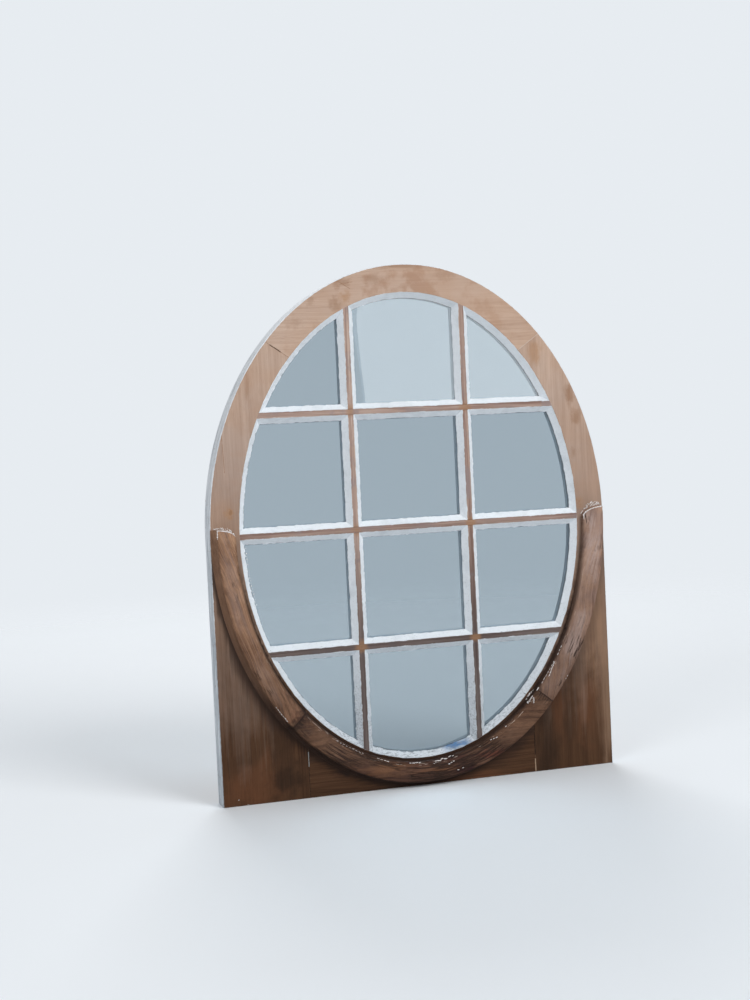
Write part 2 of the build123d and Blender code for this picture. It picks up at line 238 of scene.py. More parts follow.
class WindowColours(bpy.types.PropertyGroup):
    """Colours of the window's finishes."""

    head_light: tint("Head, light", "Light grain of the frame head", (0.57, 0.43, 0.345))
    head_dark: tint("Head, dark", "Dark grain of the frame head", (0.38, 0.255, 0.19))
    head_brown: tint("Head, brown", "Brown clouds in the head's wood", (0.36, 0.215, 0.145))
    stile_light: tint("Stiles, light", "Light grain of the stiles", (0.43, 0.325, 0.27))
    stile_dark: tint("Stiles, dark", "Dark grain of the stiles", (0.25, 0.17, 0.13))
    warm_light: tint("Warm grain, light", "Warmer light grain", (0.53, 0.335, 0.215))
    warm_dark: tint("Warm grain, dark", "Warmer dark grain", (0.30, 0.155, 0.085))
    # The lower wood's colours and the dark worn edge hold stain and also a painted shade, for less light
    # falls low on the window
    low_light: tint("Lower wood, light", "Light grain of the stained lower wood", (0.100, 0.050, 0.027))
    low_dark: tint("Lower wood, dark", "Dark grain of the stained lower wood", (0.022, 0.011, 0.0068))
    low_red: tint("Lower wood, red", "Reddish stains of the lower wood", (0.125, 0.052, 0.026))
    worn_light: tint("Worn edge, light", "Worn edges of the upper wood", (0.62, 0.50, 0.42))
    worn_dark: tint("Worn edge, dark", "Worn edges of the lower wood", (0.30, 0.20, 0.14))
    # This colour is real stain in cracks, joints and spots, and also painted shadow and shade beside and
    # along the moulding
    stain: tint("Stain", "Stain beside the moulding", (0.030, 0.018, 0.014))
    knot: tint("Knots", "Knots of the frame", (0.36, 0.19, 0.09))
    brown: tint("Brown spots", "Brown spots of the frame", (0.27, 0.15, 0.088))
    damp: tint("Damp stains", "Damp stains low on the frame", (0.030, 0.017, 0.011))
    faded: tint("Faded edge", "Faded wood low on the right stile", (0.20, 0.125, 0.082))
    tan: tint("Tan patch", "Lighter patch of the right stile", (0.30, 0.18, 0.115))
    joint_pale: tint("Pale joint", "Pale line of the right head joint", (0.60, 0.50, 0.43))
    filler_grey: tint("Grey filler", "Filler in the left shoulder's joint", (0.34, 0.36, 0.36))
    filler_tan: tint("Tan filler", "Filler in the right shoulder's joint", (0.38, 0.27, 0.19))
    bar_light: tint("Bars, light", "Light grain of the bars", (0.46, 0.340, 0.285))
    bar_dark: tint("Bars, dark", "Dark grain of the bars", (0.22, 0.135, 0.108))
    bar_grey: tint("Bars, weathered", "Weathered grain of the bars", (0.27, 0.21, 0.20))
    # The lower bar colours hold soiling and also a painted shade, for less light falls low on the window
    bar_low: tint("Bars, lower", "Soiled wood of the bars near the bottom", (0.088, 0.078, 0.080))
    bar_low_dark: tint("Bars, lower dark", "Dark grain of the bars near the bottom", (0.042, 0.036, 0.037))
    orange: tint("Orange spots", "Resin stains", (0.33, 0.175, 0.085))
    drip_light: tint("Moulding, light", "Light grain of the moulding", (0.38, 0.22, 0.135))
    drip_dark: tint("Moulding, dark", "Dark grain of the moulding", (0.105, 0.052, 0.032))
    drip_right_light: tint("Right moulding, light", "Light grain of the right length", (0.40, 0.275, 0.225))
    drip_right_dark: tint("Right moulding, dark", "Dark grain of the right length", (0.155, 0.092, 0.070))
    drip_bottom_light: tint("Bottom moulding, light", "Light grain of the bottom length",
                            (0.135, 0.070, 0.043))
    drip_bottom_dark: tint("Bottom moulding, dark", "Dark grain of the bottom length", (0.030, 0.015, 0.010))
    # The moulding's lower and foot colours hold its weathering and also a painted shade, for less light
    # falls low on the window
    drip_low_light: tint("Moulding, lower light", "Light grain low on the moulding", (0.15, 0.080, 0.050))
    drip_low_dark: tint("Moulding, lower dark", "Dark grain low on the moulding", (0.040, 0.021, 0.014))
    drip_foot_light: tint("Moulding, foot light", "Light grain at the foot of the oval",
                          (0.070, 0.034, 0.026))
    drip_foot_dark: tint("Moulding, foot dark", "Dark grain at the foot of the oval", (0.016, 0.008, 0.007))
    drip_grey: tint("Moulding, weathered", "Weathered grain of the moulding", (0.44, 0.33, 0.29))
    # A painted shade, for the moulding's outer side in the cove under its nosing
    drip_painted_shade: tint("Moulding, outer side", "Stain along the moulding's outer side", (0.19, 0.108, 0.070))
    drip_umber: tint("Moulding, umber", "Umber stain beside the left joint", (0.16, 0.075, 0.045))
    drip_purple: tint("Moulding, purple", "Dark purple stain at the foot", (0.026, 0.011, 0.013))
    drip_rust: tint("Moulding, rust", "Rusty stain at the foot", (0.14, 0.045, 0.030))
    drip_tan: tint("Moulding, tan", "Tan patch at the foot", (0.20, 0.095, 0.048))
    drip_brown: tint("Moulding, brown", "Brown patch at the foot", (0.17, 0.075, 0.038))
    drip_plum: tint("Moulding, plum", "Plum-coloured band at the foot", (0.050, 0.022, 0.019))
    notch: tint("Notch", "Dark notch at the left joint", (0.014, 0.009, 0.007))
    white: tint("Paint", "Paint on putty and edges", (0.78, 0.82, 0.86))
    # Also laid on the putty lower down as a painted shade
    white_old: tint("Old paint", "Soiled paint", (0.40, 0.44, 0.48))
    flake: tint("Old flakes", "Flecks of old paint", (0.80, 0.77, 0.76))
    # Also laid on the flecks lower down as a painted shade
    flake_old: tint("Soiled flakes", "Soiled flecks of old paint", (0.42, 0.37, 0.35))
    putty_grey: tint("Crumbled putty", "Crumbled and soiled putty", (0.20, 0.22, 0.25))
    blue_paint: tint("Blue paint", "Blue smear on the lowest putty", (0.05, 0.15, 0.32))
    rust: tint("Rust", "Rust spots of the steel", (0.16, 0.07, 0.035))
    glass: tint("Glass", "Tint of the glass", (0.40, 0.475, 0.52))
    steel: tint("Steel", "Points and nails", (0.32, 0.30, 0.28))
    floor: tint("Floor", "Floor and background", (0.80, 0.84, 0.88))


def sizes():
    """The window's sizes as they are set in the scene."""
    return bpy.context.scene.window_sizes


def colours():
    """The window's colours as they are set in the scene."""
    return bpy.context.scene.window_colours


def named_colour(name):
    """One of the window's colours, by its name."""
    return tuple(getattr(colours(), name))


# Node trees

class Graph:
    """A node tree in which a formula is written as calls on sockets."""

    def __init__(self, tree):
        self.tree = tree

    def add(self, kind, *values, **settings):
        """A node with its settings and, in order, its inputs."""
        node = self.tree.nodes.new(kind)
        for name, value in settings.items():
            setattr(node, name, value)
        for socket, value in zip(node.inputs, values):
            self.put(socket, value)
        return node

    def put(self, socket, value):
        """Links a socket's value to an input, or sets a plain one."""
        if isinstance(value, bpy.types.NodeSocket):
            self.tree.links.new(value, socket)
        elif value is not None:
            if socket.type == "RGBA" and len(value) == 3:
                value = (*value, 1.0)
            socket.default_value = value

    def maths(self, operation, *values, clamp=False):
        """The result of one operation on numbers."""
        return self.add("ShaderNodeMath", *values, operation=operation, use_clamp=clamp).outputs[0]

    def times(self, first, second):
        """The product of two numbers."""
        return self.maths("MULTIPLY", first, second)

    def sway(self, base, wave, amount, middle=0.5):
        """A value moved up and down by a noise about its middle."""
        return self.maths("MULTIPLY_ADD", self.maths("SUBTRACT", wave, middle), amount, base)

    def vector(self, operation, *values):
        """The result of one operation on vectors, which for some is a number."""
        node = self.add("ShaderNodeVectorMath", *values, operation=operation)
        return node.outputs["Value" if operation in ("LENGTH", "DISTANCE", "DOT_PRODUCT") else "Vector"]

    def split(self, value):
        """The three parts of a vector."""
        return self.add("ShaderNodeSeparateXYZ", value).outputs

    def join(self, *values):
        """A vector from its three parts."""
        return self.add("ShaderNodeCombineXYZ", *values).outputs[0]

    def ramp(self, value, low, high, out_low=0.0, out_high=1.0):
        """A value carried smoothly from one range to another."""
        node = self.add("ShaderNodeMapRange", value, low, high, out_low, out_high)
        node.interpolation_type = "SMOOTHSTEP"
        return node.outputs[0]

    def mix(self, share, first, second):
        """A mix of two colours."""
        node = self.tree.nodes.new("ShaderNodeMix")
        node.data_type = "RGBA"
        factor, colour_a, colour_b = node.inputs[0], node.inputs[6], node.inputs[7]
        self.put(factor, share)
        self.put(colour_a, first)
        self.put(colour_b, second)
        return node.outputs[2]

    def noise(self, place, scale, detail=3.0, rough=0.55, warp=0.0):
        """Noise between 0 and 1 at a place."""
        node = self.add("ShaderNodeTexNoise", place)
        settings = {"Scale": scale, "Detail": detail, "Roughness": rough, "Distortion": warp}
        for name, value in settings.items():
            self.put(node.inputs[name], value)
        return node.outputs[0]

    def group(self, tree, **values):
        """A node group with its inputs given by name."""
        node = self.tree.nodes.new("ShaderNodeGroup")
        node.node_tree = tree
        for name, value in values.items():
            self.put(node.inputs[name.replace("_", " ").capitalize()], value)
        return node.outputs


def effect(name, inputs, outputs):
    """An empty shader group with named sockets, and its graph, inputs and outputs."""
    tree = bpy.data.node_groups.new(name, "ShaderNodeTree")
    for label, kind, default in inputs:
        socket = tree.interface.new_socket(label, in_out="INPUT", socket_type=kind)
        if default is not None:
            socket.default_value = default
    for label, kind in outputs:
        tree.interface.new_socket(label, in_out="OUTPUT", socket_type=kind)
    graph = Graph(tree)
    return tree, graph, graph.add("NodeGroupInput").outputs, graph.add("NodeGroupOutput").inputs


NUMBER, VECTOR = "NodeSocketFloat", "NodeSocketVector"


def grain_effect():
    """Wood grain on coordinates whose X runs along it, Y across it and Z into the wood."""
    tree, g, given, out = effect(
        "Wood grain",
        [("Way", VECTOR, None), ("Seed", NUMBER, 0.0), ("Lines", NUMBER, 60.0), ("Waviness", NUMBER, 1.0)],
        [("Lines", NUMBER), ("Fibres", NUMBER), ("Streaks", NUMBER), ("Bands", NUMBER), ("Pores", NUMBER),
         ("Glints", NUMBER), ("Relief", NUMBER)])
    shift = g.vector("SCALE", (3.1, 1.7, 2.3), None)
    g.put(shift.node.inputs["Scale"], given["Seed"])
    place = g.vector("ADD", given["Way"], shift)
    x, y, z = g.split(place)
    broad = g.noise(g.vector("MULTIPLY", place, (1.5, 6.0, 6.0)), 1.0, 2.0, 0.5)
    bent = g.times(g.maths("SUBTRACT", broad, 0.5), given["Waviness"])
    level = g.maths("MULTIPLY_ADD", bent, 0.10, g.maths("MULTIPLY_ADD", z, 0.55, y))
    rings = g.join(g.times(x, 0.9), g.times(level, given["Lines"]), 0.0)
    rings = g.noise(rings, 1.0, 3.0, 0.5)
    edge = g.maths("ABSOLUTE", g.maths("SUBTRACT", rings, 0.5))
    lines = g.times(g.ramp(edge, 0.055, 0.0), g.ramp(broad, 0.3, 0.6, 0.35, 1.0))
    fibres = g.noise(g.vector("MULTIPLY", place, (14.0, 640.0, 640.0)), 1.0, 4.0, 0.7)
    streaks = g.noise(g.vector("MULTIPLY", place, (4.0, 210.0, 210.0)), 1.0, 5.0, 0.65)
    bands = g.noise(g.vector("MULTIPLY", place, (1.3, 34.0, 34.0)), 1.0, 4.0, 0.6)
    dashes = g.noise(g.vector("MULTIPLY", place, (45.0, 1000.0, 1000.0)), 1.0, 2.0, 0.5)
    pores = g.ramp(dashes, 0.62, 0.72)
    bright = g.vector("MULTIPLY", g.vector("ADD", place, (0.0, 3.3, 1.1)), (5.0, 260.0, 260.0))
    bright = g.noise(bright, 1.0, 3.0, 0.6)
    g.put(out["Glints"], g.times(g.ramp(bright, 0.58, 0.64), g.ramp(broad, 0.35, 0.6)))
    g.put(out["Lines"], lines)
    g.put(out["Fibres"], g.ramp(fibres, 0.28, 0.72))
    g.put(out["Streaks"], g.ramp(streaks, 0.28, 0.72))
    g.put(out["Bands"], g.ramp(bands, 0.30, 0.70))
    g.put(out["Pores"], pores)
    relief = g.maths("SUBTRACT", g.times(fibres, 0.7), g.times(pores, 0.4))
    g.put(out["Relief"], g.maths("MULTIPLY_ADD", lines, -0.25, relief))
    return tree


def reach_effect():
    """How far a point lies outside an oval about the window's middle, in metres."""
    tree, g, given, out = effect(
        "Distance outside an oval",
        [("Place", VECTOR, None), ("Half width", NUMBER, 0.35), ("Half height", NUMBER, 0.46),
         ("Middle", NUMBER, 0.515)],
        [("Distance", NUMBER)])
    x, _, z = g.split(given["Place"])
    z = g.maths("SUBTRACT", z, given["Middle"])
    across, up = g.maths("DIVIDE", x, given["Half width"]), g.maths("DIVIDE", z, given["Half height"])
    share = g.vector("LENGTH", g.join(across, up, 0.0))
    slope = g.vector("LENGTH", g.join(g.maths("DIVIDE", across, given["Half width"]),
                                      g.maths("DIVIDE", up, given["Half height"]), 0.0))
    outside = g.times(g.maths("SUBTRACT", share, 1.0), share)
    g.put(out["Distance"], g.maths("DIVIDE", outside, slope))
    return tree


def blotch_effect():
    """Soft stains and small specks on the surface, by their size."""
    tree, g, given, out = effect(
        "Stains",
        [("Place", VECTOR, None), ("Size", NUMBER, 0.1), ("Seed", NUMBER, 0.0)],
        [("Soft", NUMBER), ("Patches", NUMBER), ("Specks", NUMBER)])
    shift = g.vector("SCALE", (5.3, 2.9, 4.1), None)
    g.put(shift.node.inputs["Scale"], given["Seed"])
    place = g.vector("ADD", given["Place"], shift)
    soft = g.noise(place, g.maths("DIVIDE", 1.0, given["Size"]), 4.0, 0.55, 0.3)
    g.put(out["Soft"], soft)
    g.put(out["Patches"], g.ramp(soft, 0.52, 0.66))
    specks = g.noise(place, g.maths("DIVIDE", 14.0, given["Size"]), 2.0, 0.5)
    g.put(out["Specks"], g.ramp(specks, 0.66, 0.72))
    return tree


def spot_effect():
    """A knot or stain round one point of the weather face: its mask, and a dark heart."""
    tree, g, given, out = effect(
        "Knot",
        [("Place", VECTOR, None), ("Middle", VECTOR, None), ("Size", VECTOR, (0.01, 0.05, 0.01))],
        [("Mask", NUMBER), ("Heart", NUMBER)])
    away = g.vector("DIVIDE", g.vector("SUBTRACT", given["Place"], given["Middle"]), given["Size"])
    own = g.vector("ADD", away, g.vector("MULTIPLY", given["Middle"], (40.0, 0.0, 40.0)))
    far = g.sway(g.vector("LENGTH", away), g.noise(own, 1.5, 5.0, 0.58), 2.2)
    g.put(out["Mask"], g.ramp(far, 1.1, 0.15))
    g.put(out["Heart"], g.ramp(far, 0.42, 0.15))
    return tree


def crack_effect():
    """A thin ragged line between two points, through the depth of the wood."""
    tree, g, given, out = effect(
        "Line between two points",
        [("Place", VECTOR, None), ("Start", VECTOR, None), ("End", VECTOR, (0.0, 0.0, 0.01)),
         ("Width", NUMBER, 0.001)],
        [("Mask", NUMBER)])
    run = g.vector("SUBTRACT", given["End"], given["Start"])
    away = g.vector("MULTIPLY", g.vector("SUBTRACT", given["Place"], given["Start"]), (1.0, 0.0, 1.0))
    reached, whole = g.vector("DOT_PRODUCT", away, run), g.vector("DOT_PRODUCT", run, run)
    share = g.maths("DIVIDE", reached, whole, clamp=True)
    near = g.vector("SCALE", run, None)
    g.put(near.node.inputs["Scale"], share)
    gap = g.vector("LENGTH", g.vector("SUBTRACT", away, near))
    bent = g.maths("SUBTRACT", g.noise(given["Place"], 120.0, 3.0, 0.6), 0.5)
    gap = g.maths("MULTIPLY_ADD", g.maths("ABSOLUTE", bent), given["Width"], gap)
    broken = g.ramp(g.noise(given["Place"], 230.0, 2.0, 0.6), 0.34, 0.44, 0.35, 1.0)
    line = g.ramp(g.maths("DIVIDE", gap, given["Width"]), 0.6, 0.25)
    g.put(out["Mask"], g.times(broken, line))
    return tree


def arris_effect():
    """Where edges are worn: a mask of the sharp edges, and a normal that rounds them."""
    tree, g, given, out = effect(
        "Worn edges", [("Radius", NUMBER, 0.0012), ("Place", VECTOR, None)],
        [("Edge", NUMBER), ("Normal", VECTOR)])
    soft = g.add("ShaderNodeBevel", given["Radius"], samples=4)
    true = g.add("ShaderNodeNewGeometry").outputs["True Normal"]
    turned = g.maths("SUBTRACT", 1.0, g.vector("DOT_PRODUCT", soft.outputs[0], true))
    broken = g.noise(given["Place"], 90.0, 4.0, 0.65)
    g.put(out["Edge"], g.times(g.ramp(turned, 0.01, 0.10), g.ramp(broken, 0.35, 0.60, 0.25, 1.0)))
    g.put(out["Normal"], soft.outputs[0])
    return tree


GRAIN, REACH, BLOTCH = grain_effect(), reach_effect(), blotch_effect()
SPOT, CRACK, ARRIS = spot_effect(), crack_effect(), arris_effect()


class Finish(Graph):
    """A material built on its own Principled shader."""

    def __init__(self, name, **plain):
        self.material = bpy.data.materials.new(name)
        self.material.use_nodes = True
        super().__init__(self.material.node_tree)
        self.shader = self.tree.nodes["Principled BSDF"]
        self.place = self.add("ShaderNodeTexCoord").outputs["Object"]
        self.x, self.y, self.z = self.split(self.place)
        for socket, value in plain.items():
            self.put(self.shader.inputs[socket.replace("_", " ")], value)

    def way(self, along):
        """Coordinates with the grain along X or along Z."""
        if along == "X":
            return self.join(self.x, self.z, self.y)
        return self.join(self.z, self.x, self.y)

    def reach(self, half_width, half_height):
        """How far the surface lies outside an oval about the window's middle."""
        return self.group(REACH, place=self.place, half_width=half_width, half_height=half_height,
                          middle=sizes().oval_z)["Distance"]

    def spot(self, colour, hue, middle, size, share, heart=None, depth=0.014):
        """A stain at a point of the weather face, down to a depth, laid over a colour."""
        face = -sizes().thickness / 2
        made = self.group(SPOT, place=self.place, middle=(middle[0], face, middle[1]),
                          size=(size[0], depth, size[1]))
        colour = self.mix(self.times(made["Mask"], share), colour, hue)
        if heart:
            colour = self.mix(self.times(made["Heart"], 0.8), colour, heart)
        return colour

    def crack(self, start, end, width):
        """Mask of a thin line between two points of the weather face."""
        start, end = (start[0], 0.0, start[1]), (end[0], 0.0, end[1])
        return self.group(CRACK, place=self.place, start=start, end=end, width=width)["Mask"]

    def worn(self, radius):
        """Worn edges of the surface."""
        return self.group(ARRIS, radius=radius, place=self.place)

    def end(self, colour, rough, height=None, depth=0.001, normal=None):
        """Joins the colour, roughness and relief to the shader."""
        self.put(self.shader.inputs["Base Color"], colour)
        self.put(self.shader.inputs["Roughness"], rough)
        if height is not None:
            bump = self.add("ShaderNodeBump")
            self.put(bump.inputs["Strength"], 1.0)
            self.put(bump.inputs["Distance"], depth)
            self.put(bump.inputs["Height"], height)
            self.put(bump.inputs["Normal"], normal)
            self.put(self.shader.inputs["Normal"], bump.outputs[0])
        return self.material


def wood_tone(f, grain, lines=0.45, contrast=1.0):
    """One tone from the parts of a grain, from light to dark."""
    tone = f.times(grain["Streaks"], 0.34)
    tone = f.maths("MULTIPLY_ADD", grain["Fibres"], 0.26, tone)
    tone = f.maths("MULTIPLY_ADD", grain["Bands"], 0.34, tone)
    tone = f.maths("MULTIPLY_ADD", f.maths("SUBTRACT", tone, 0.47), contrast, 0.42)
    tone = f.maths("MULTIPLY_ADD", grain["Lines"], lines, tone)
    return f.maths("MULTIPLY_ADD", grain["Pores"], 0.16, tone, clamp=True)


def frame_wood(name, along, upper, seed, spots, cracks, grain_lines, moulding_shadow_amount):
    """Sanded frame wood: light above, darker below with stain and a painted shade, and paint left on its
    outer edge.

    The colours of the upper wood are a pair of names. The painted shadow beside the moulding has one
    share at the left and one at the right.
    """
    s, c = sizes(), colours()
    f = Finish(name, Specular_IOR_Level=0.04)
    worn = f.worn(0.0012)
    grain = f.group(GRAIN, way=f.way(along), seed=seed, lines=62.0, waviness=1.0)
    stains = f.group(BLOTCH, place=f.place, size=0.16, seed=seed)
    tone = wood_tone(f, grain, grain_lines, 0.85)
    calm = f.ramp(f.maths("ABSOLUTE", f.x), 0.22, 0.12, 0.0, 0.65)
    calm = f.times(calm, f.ramp(f.z, 0.90, 0.95))
    tone = f.add("ShaderNodeMapRange", calm, 0.0, 1.0, tone, 0.45).outputs[0]

    # Light wood, with clouds and warmer parts
    upper_light, upper_dark = (named_colour(name) for name in upper)
    light = f.mix(tone, upper_light, upper_dark)
    light = f.mix(f.ramp(f.z, 0.60, 0.86, 0.0, 0.8), light, f.mix(tone, c.head_light, c.head_dark))
    cloud = f.ramp(f.noise(f.vector("ADD", f.place, (0.0, 0.0, seed)), 24.0, 4.0, 0.6), 0.46, 0.64)
    cloud = f.times(cloud, f.ramp(f.x, 0.25, 0.02, 0.35, 0.7))
    light = f.mix(f.times(cloud, f.ramp(f.z, 0.82, 0.94, 0.25, 1.0)), light, c.head_brown)
    hue = f.ramp(f.noise(f.vector("ADD", f.place, (seed, 0.0, 4.0)), 9.0, 3.0), 0.35, 0.65)
    light = f.mix(f.times(hue, 0.30), light, f.mix(tone, c.warm_light, c.warm_dark))

    # Darker wood below, which begins at a height that sways with the grain
    # The darkening is partly stain and partly a painted shade, where less light falls low on the window
    dark = f.mix(tone, c.low_light, c.low_dark)
    dark = f.mix(f.times(f.ramp(stains["Soft"], 0.50, 0.66), 0.5), dark, c.low_red)
    height = f.sway(f.z, grain["Bands"], 0.16)
    height = f.sway(height, grain["Streaks"], 0.07)
    height = f.sway(height, stains["Soft"], 0.28)
    stain_and_shade_share = f.add("ShaderNodeMapRange", height, 0.58, 0.12, 0.0, 1.0).outputs[0]
    weather = f.ramp(f.y, -0.0225, -0.0235)
    stain_and_shade_share = f.times(stain_and_shade_share, f.maths("MULTIPLY_ADD", weather, 0.5, 0.5))
    colour = f.mix(stain_and_shade_share, light, dark)
    glint = f.mix(stain_and_shade_share, upper_light, c.low_light)
    colour = f.mix(f.times(grain["Glints"], 0.22), colour, glint)
    for spot_colour, middle, size, share, *heart in spots:
        share = f.ramp(grain["Streaks"], 0.1, 0.8, share, share * 0.72)
        colour = f.spot(colour, named_colour(spot_colour), middle, size, share, *map(named_colour, heart))

    # Painted shadow beside the moulding, laid in the stain colour, and painted shade in the groove along its
    # inner side
    # The band outside the moulding is a painted shadow cast by it, widest and darkest low down
    drip = f.reach(s.drip_half_width + s.drip_width / 2, s.drip_half_height + s.drip_width / 2)
    patchy = f.maths("MULTIPLY_ADD", stains["Soft"], 1.0, f.times(grain["Streaks"], 0.16))
    wide = f.ramp(patchy, 0.35, 0.85, 0.008, 0.060)
    beside = f.ramp(f.maths("DIVIDE", drip, wide), 1.0, 0.0, 0.0, 0.92)
    beside = f.times(beside, f.ramp(drip, -0.004, -0.001))
    beside = f.times(beside, f.ramp(f.z, 0.535, 0.44))
    beside = f.times(beside, f.ramp(f.x, -0.12, 0.12, *moulding_shadow_amount))
    colour = f.mix(f.times(beside, weather), colour, c.stain)
    # A painted shade in the groove between the putty and the moulding, deepest towards the bottom
    foot = f.reach(s.drip_half_width - s.drip_width / 2, s.drip_half_height - s.drip_width / 2)
    groove_shade = f.sway(foot, f.noise(f.place, 90.0, 4.0, 0.65), 0.014)
    groove_shade = f.times(f.ramp(groove_shade, -0.0085, -0.0015), f.ramp(foot, 0.004, 0.001))
    groove_shade = f.times(groove_shade, f.ramp(f.z, 0.54, 0.30, 0.0, 0.9))
    colour = f.mix(f.times(groove_shade, weather), colour, c.stain)

    # Worn arrises, joints and cracks, of which the stained ones stand open
    arris = f.times(worn["Edge"], 0.55)
    colour = f.mix(arris, colour, f.mix(stain_and_shade_share, c.worn_light, c.worn_dark))
    open_gap = 0.0
    for line_colour, start, end, width in cracks:
        mask = f.crack(start, end, width)
        colour = f.mix(f.times(mask, 0.9), colour, named_colour(line_colour))
        if line_colour == "stain":
            open_gap = f.maths("MAXIMUM", open_gap, mask)

    # Paint on the lip round the oval, on the outer edge and where the putty laps on the wood
    lip = f.reach(s.half_width - s.rebate_width, s.half_height - s.rebate_width)
    lip = f.times(f.ramp(lip, 0.0012, 0.0008), f.ramp(f.y, -0.0070, -0.0064))
    lip = f.times(lip, f.ramp(f.y, 0.0065, 0.0055))
    rim = f.reach(s.outer_half_width, s.outer_half_height)
    side = f.maths("SUBTRACT", f.maths("ABSOLUTE", f.x), s.outer_half_width)
    upper_half = f.maths("GREATER_THAN", f.z, s.oval_z)
    rim = f.maths("ADD", f.times(rim, upper_half),
                  f.times(side, f.maths("SUBTRACT", 1.0, upper_half)))
    ragged = f.sway(rim, f.noise(f.place, 110.0, 5.0, 0.7), 0.0022)
    ragged = f.maths("ADD", ragged, f.times(f.ramp(f.x, 0.12, -0.05, 0.0, 0.0010), upper_half))
    paint = f.times(f.ramp(ragged, -0.0011, -0.0007), f.ramp(f.y, 0.0236, 0.0230))
    sight = f.reach(s.half_width, s.half_height)
    lap = f.sway(sight, f.noise(f.place, 45.0, 5.0, 0.6), -0.0055, 0.56)
    lap = f.times(f.ramp(lap, 0.0004, 0.0001), weather)
    paint = f.maths("MAXIMUM", paint, f.times(lap, 0.9))
    paint = f.times(paint, f.ramp(f.noise(f.place, 170.0, 4.0, 0.7), 0.30, 0.38))
    paint = f.maths("MAXIMUM", paint, lip)
    runs = f.noise(f.vector("MULTIPLY", f.place, (30.0, 120.0, 12.0)), 1.0, 5.0, 0.65)
    soiled = f.ramp(f.maths("MULTIPLY_ADD", f.z, -0.30, runs), 0.20, 0.55)
    colour = f.mix(paint, colour, f.mix(soiled, c.white, c.white_old))
    rough = f.maths("MULTIPLY_ADD", grain["Fibres"], 0.16, 0.52)
    relief = f.maths("MULTIPLY_ADD", paint, 0.6, grain["Relief"])
    relief = f.maths("MULTIPLY_ADD", open_gap, -2.0, relief)
    return f.end(colour, rough, relief, 0.0005, worn["Normal"])


def bar_wood(name, along, seed):
    """Bars: pinkish wood between strips of paint, with orange stains where they cross."""
    s, c = sizes(), colours()
    f = Finish(name, Specular_IOR_Level=0.06)
    worn = f.worn(0.0008)
    grain = f.group(GRAIN, way=f.way(along), seed=seed, lines=110.0, waviness=0.4)
    stains = f.group(BLOTCH, place=f.place, size=0.05, seed=seed)
    tone = wood_tone(f, grain, 0.3, 1.8)
    colour = f.mix(tone, c.bar_light, c.bar_dark)
    colour = f.mix(f.times(stains["Patches"], 0.8), colour, c.bar_grey)
    colour = f.mix(f.times(grain["Glints"], 0.5), colour, c.worn_light)
    # Darker towards the bottom, mostly on the weather side: soiling, and also a painted shade for less light
    # falls low on the window
    soiled = f.times(f.ramp(f.z, 0.60, 0.24, 0.0, 0.8), f.ramp(f.y, -0.010, 0.0, 1.0, 0.25))
    colour = f.mix(soiled, colour, f.mix(tone, c.bar_low, c.bar_low_dark))
    pitch = s.half_height / 2
    level = f.maths("SUBTRACT", f.z, s.oval_z)
    nearest = f.times(f.maths("ROUND", f.maths("DIVIDE", level, pitch)), pitch)
    level = f.maths("SUBTRACT", level, nearest)
    upright = f.maths("SUBTRACT", f.maths("ABSOLUTE", f.x), (2 * s.half_width + s.bar_face) / 6)
    crossing = f.vector("LENGTH", f.join(upright, level, 0.0))
    crossing = f.sway(crossing, stains["Soft"], 0.03)
    colour = f.mix(f.ramp(crossing, 0.015, 0.003, 0.0, 0.6), colour, c.orange)
    colour = f.mix(f.times(worn["Edge"], 0.4), colour, c.bar_light)
    across = level if along == "X" else upright
    edge = f.maths("SUBTRACT", f.maths("ABSOLUTE", across), s.bar_face / 2)
    lap = f.sway(edge, f.noise(f.place, 60.0, 5.0, 0.6), 0.005, 0.55)
    lap = f.ramp(lap, -0.0005, -0.0002)
    lap = f.times(lap, f.ramp(f.y, -0.0065, -0.0070))
    if along == "Z":
        ends = f.maths("SUBTRACT", f.maths("ABSOLUTE", level), s.bar_face / 2)
        butt = f.ramp(f.maths("ABSOLUTE", ends), 0.0010, 0.0004)
        colour = f.mix(f.times(butt, 0.75), colour, c.stain)
        lap = f.times(lap, f.ramp(ends, 0.0004, 0.0012))
    else:
        between_uprights = f.maths("GREATER_THAN", f.maths("ABSOLUTE", upright), s.bar_face / 2)
        lap = f.times(lap, between_uprights)
    sides = f.times(f.ramp(f.y, -0.0070, -0.0064), f.ramp(f.y, 0.0065, 0.0055))
    lap = f.maths("MAXIMUM", lap, f.times(sides, 0.95))
    worn_paint = f.ramp(f.noise(f.place, 220.0, 4.0, 0.6), 0.5, 0.75)
    colour = f.mix(lap, colour, f.mix(worn_paint, c.white, c.white_old))
    rough = f.maths("MULTIPLY_ADD", grain["Fibres"], 0.18, 0.50)
    return f.end(colour, rough, grain["Relief"], 0.0004, worn["Normal"])


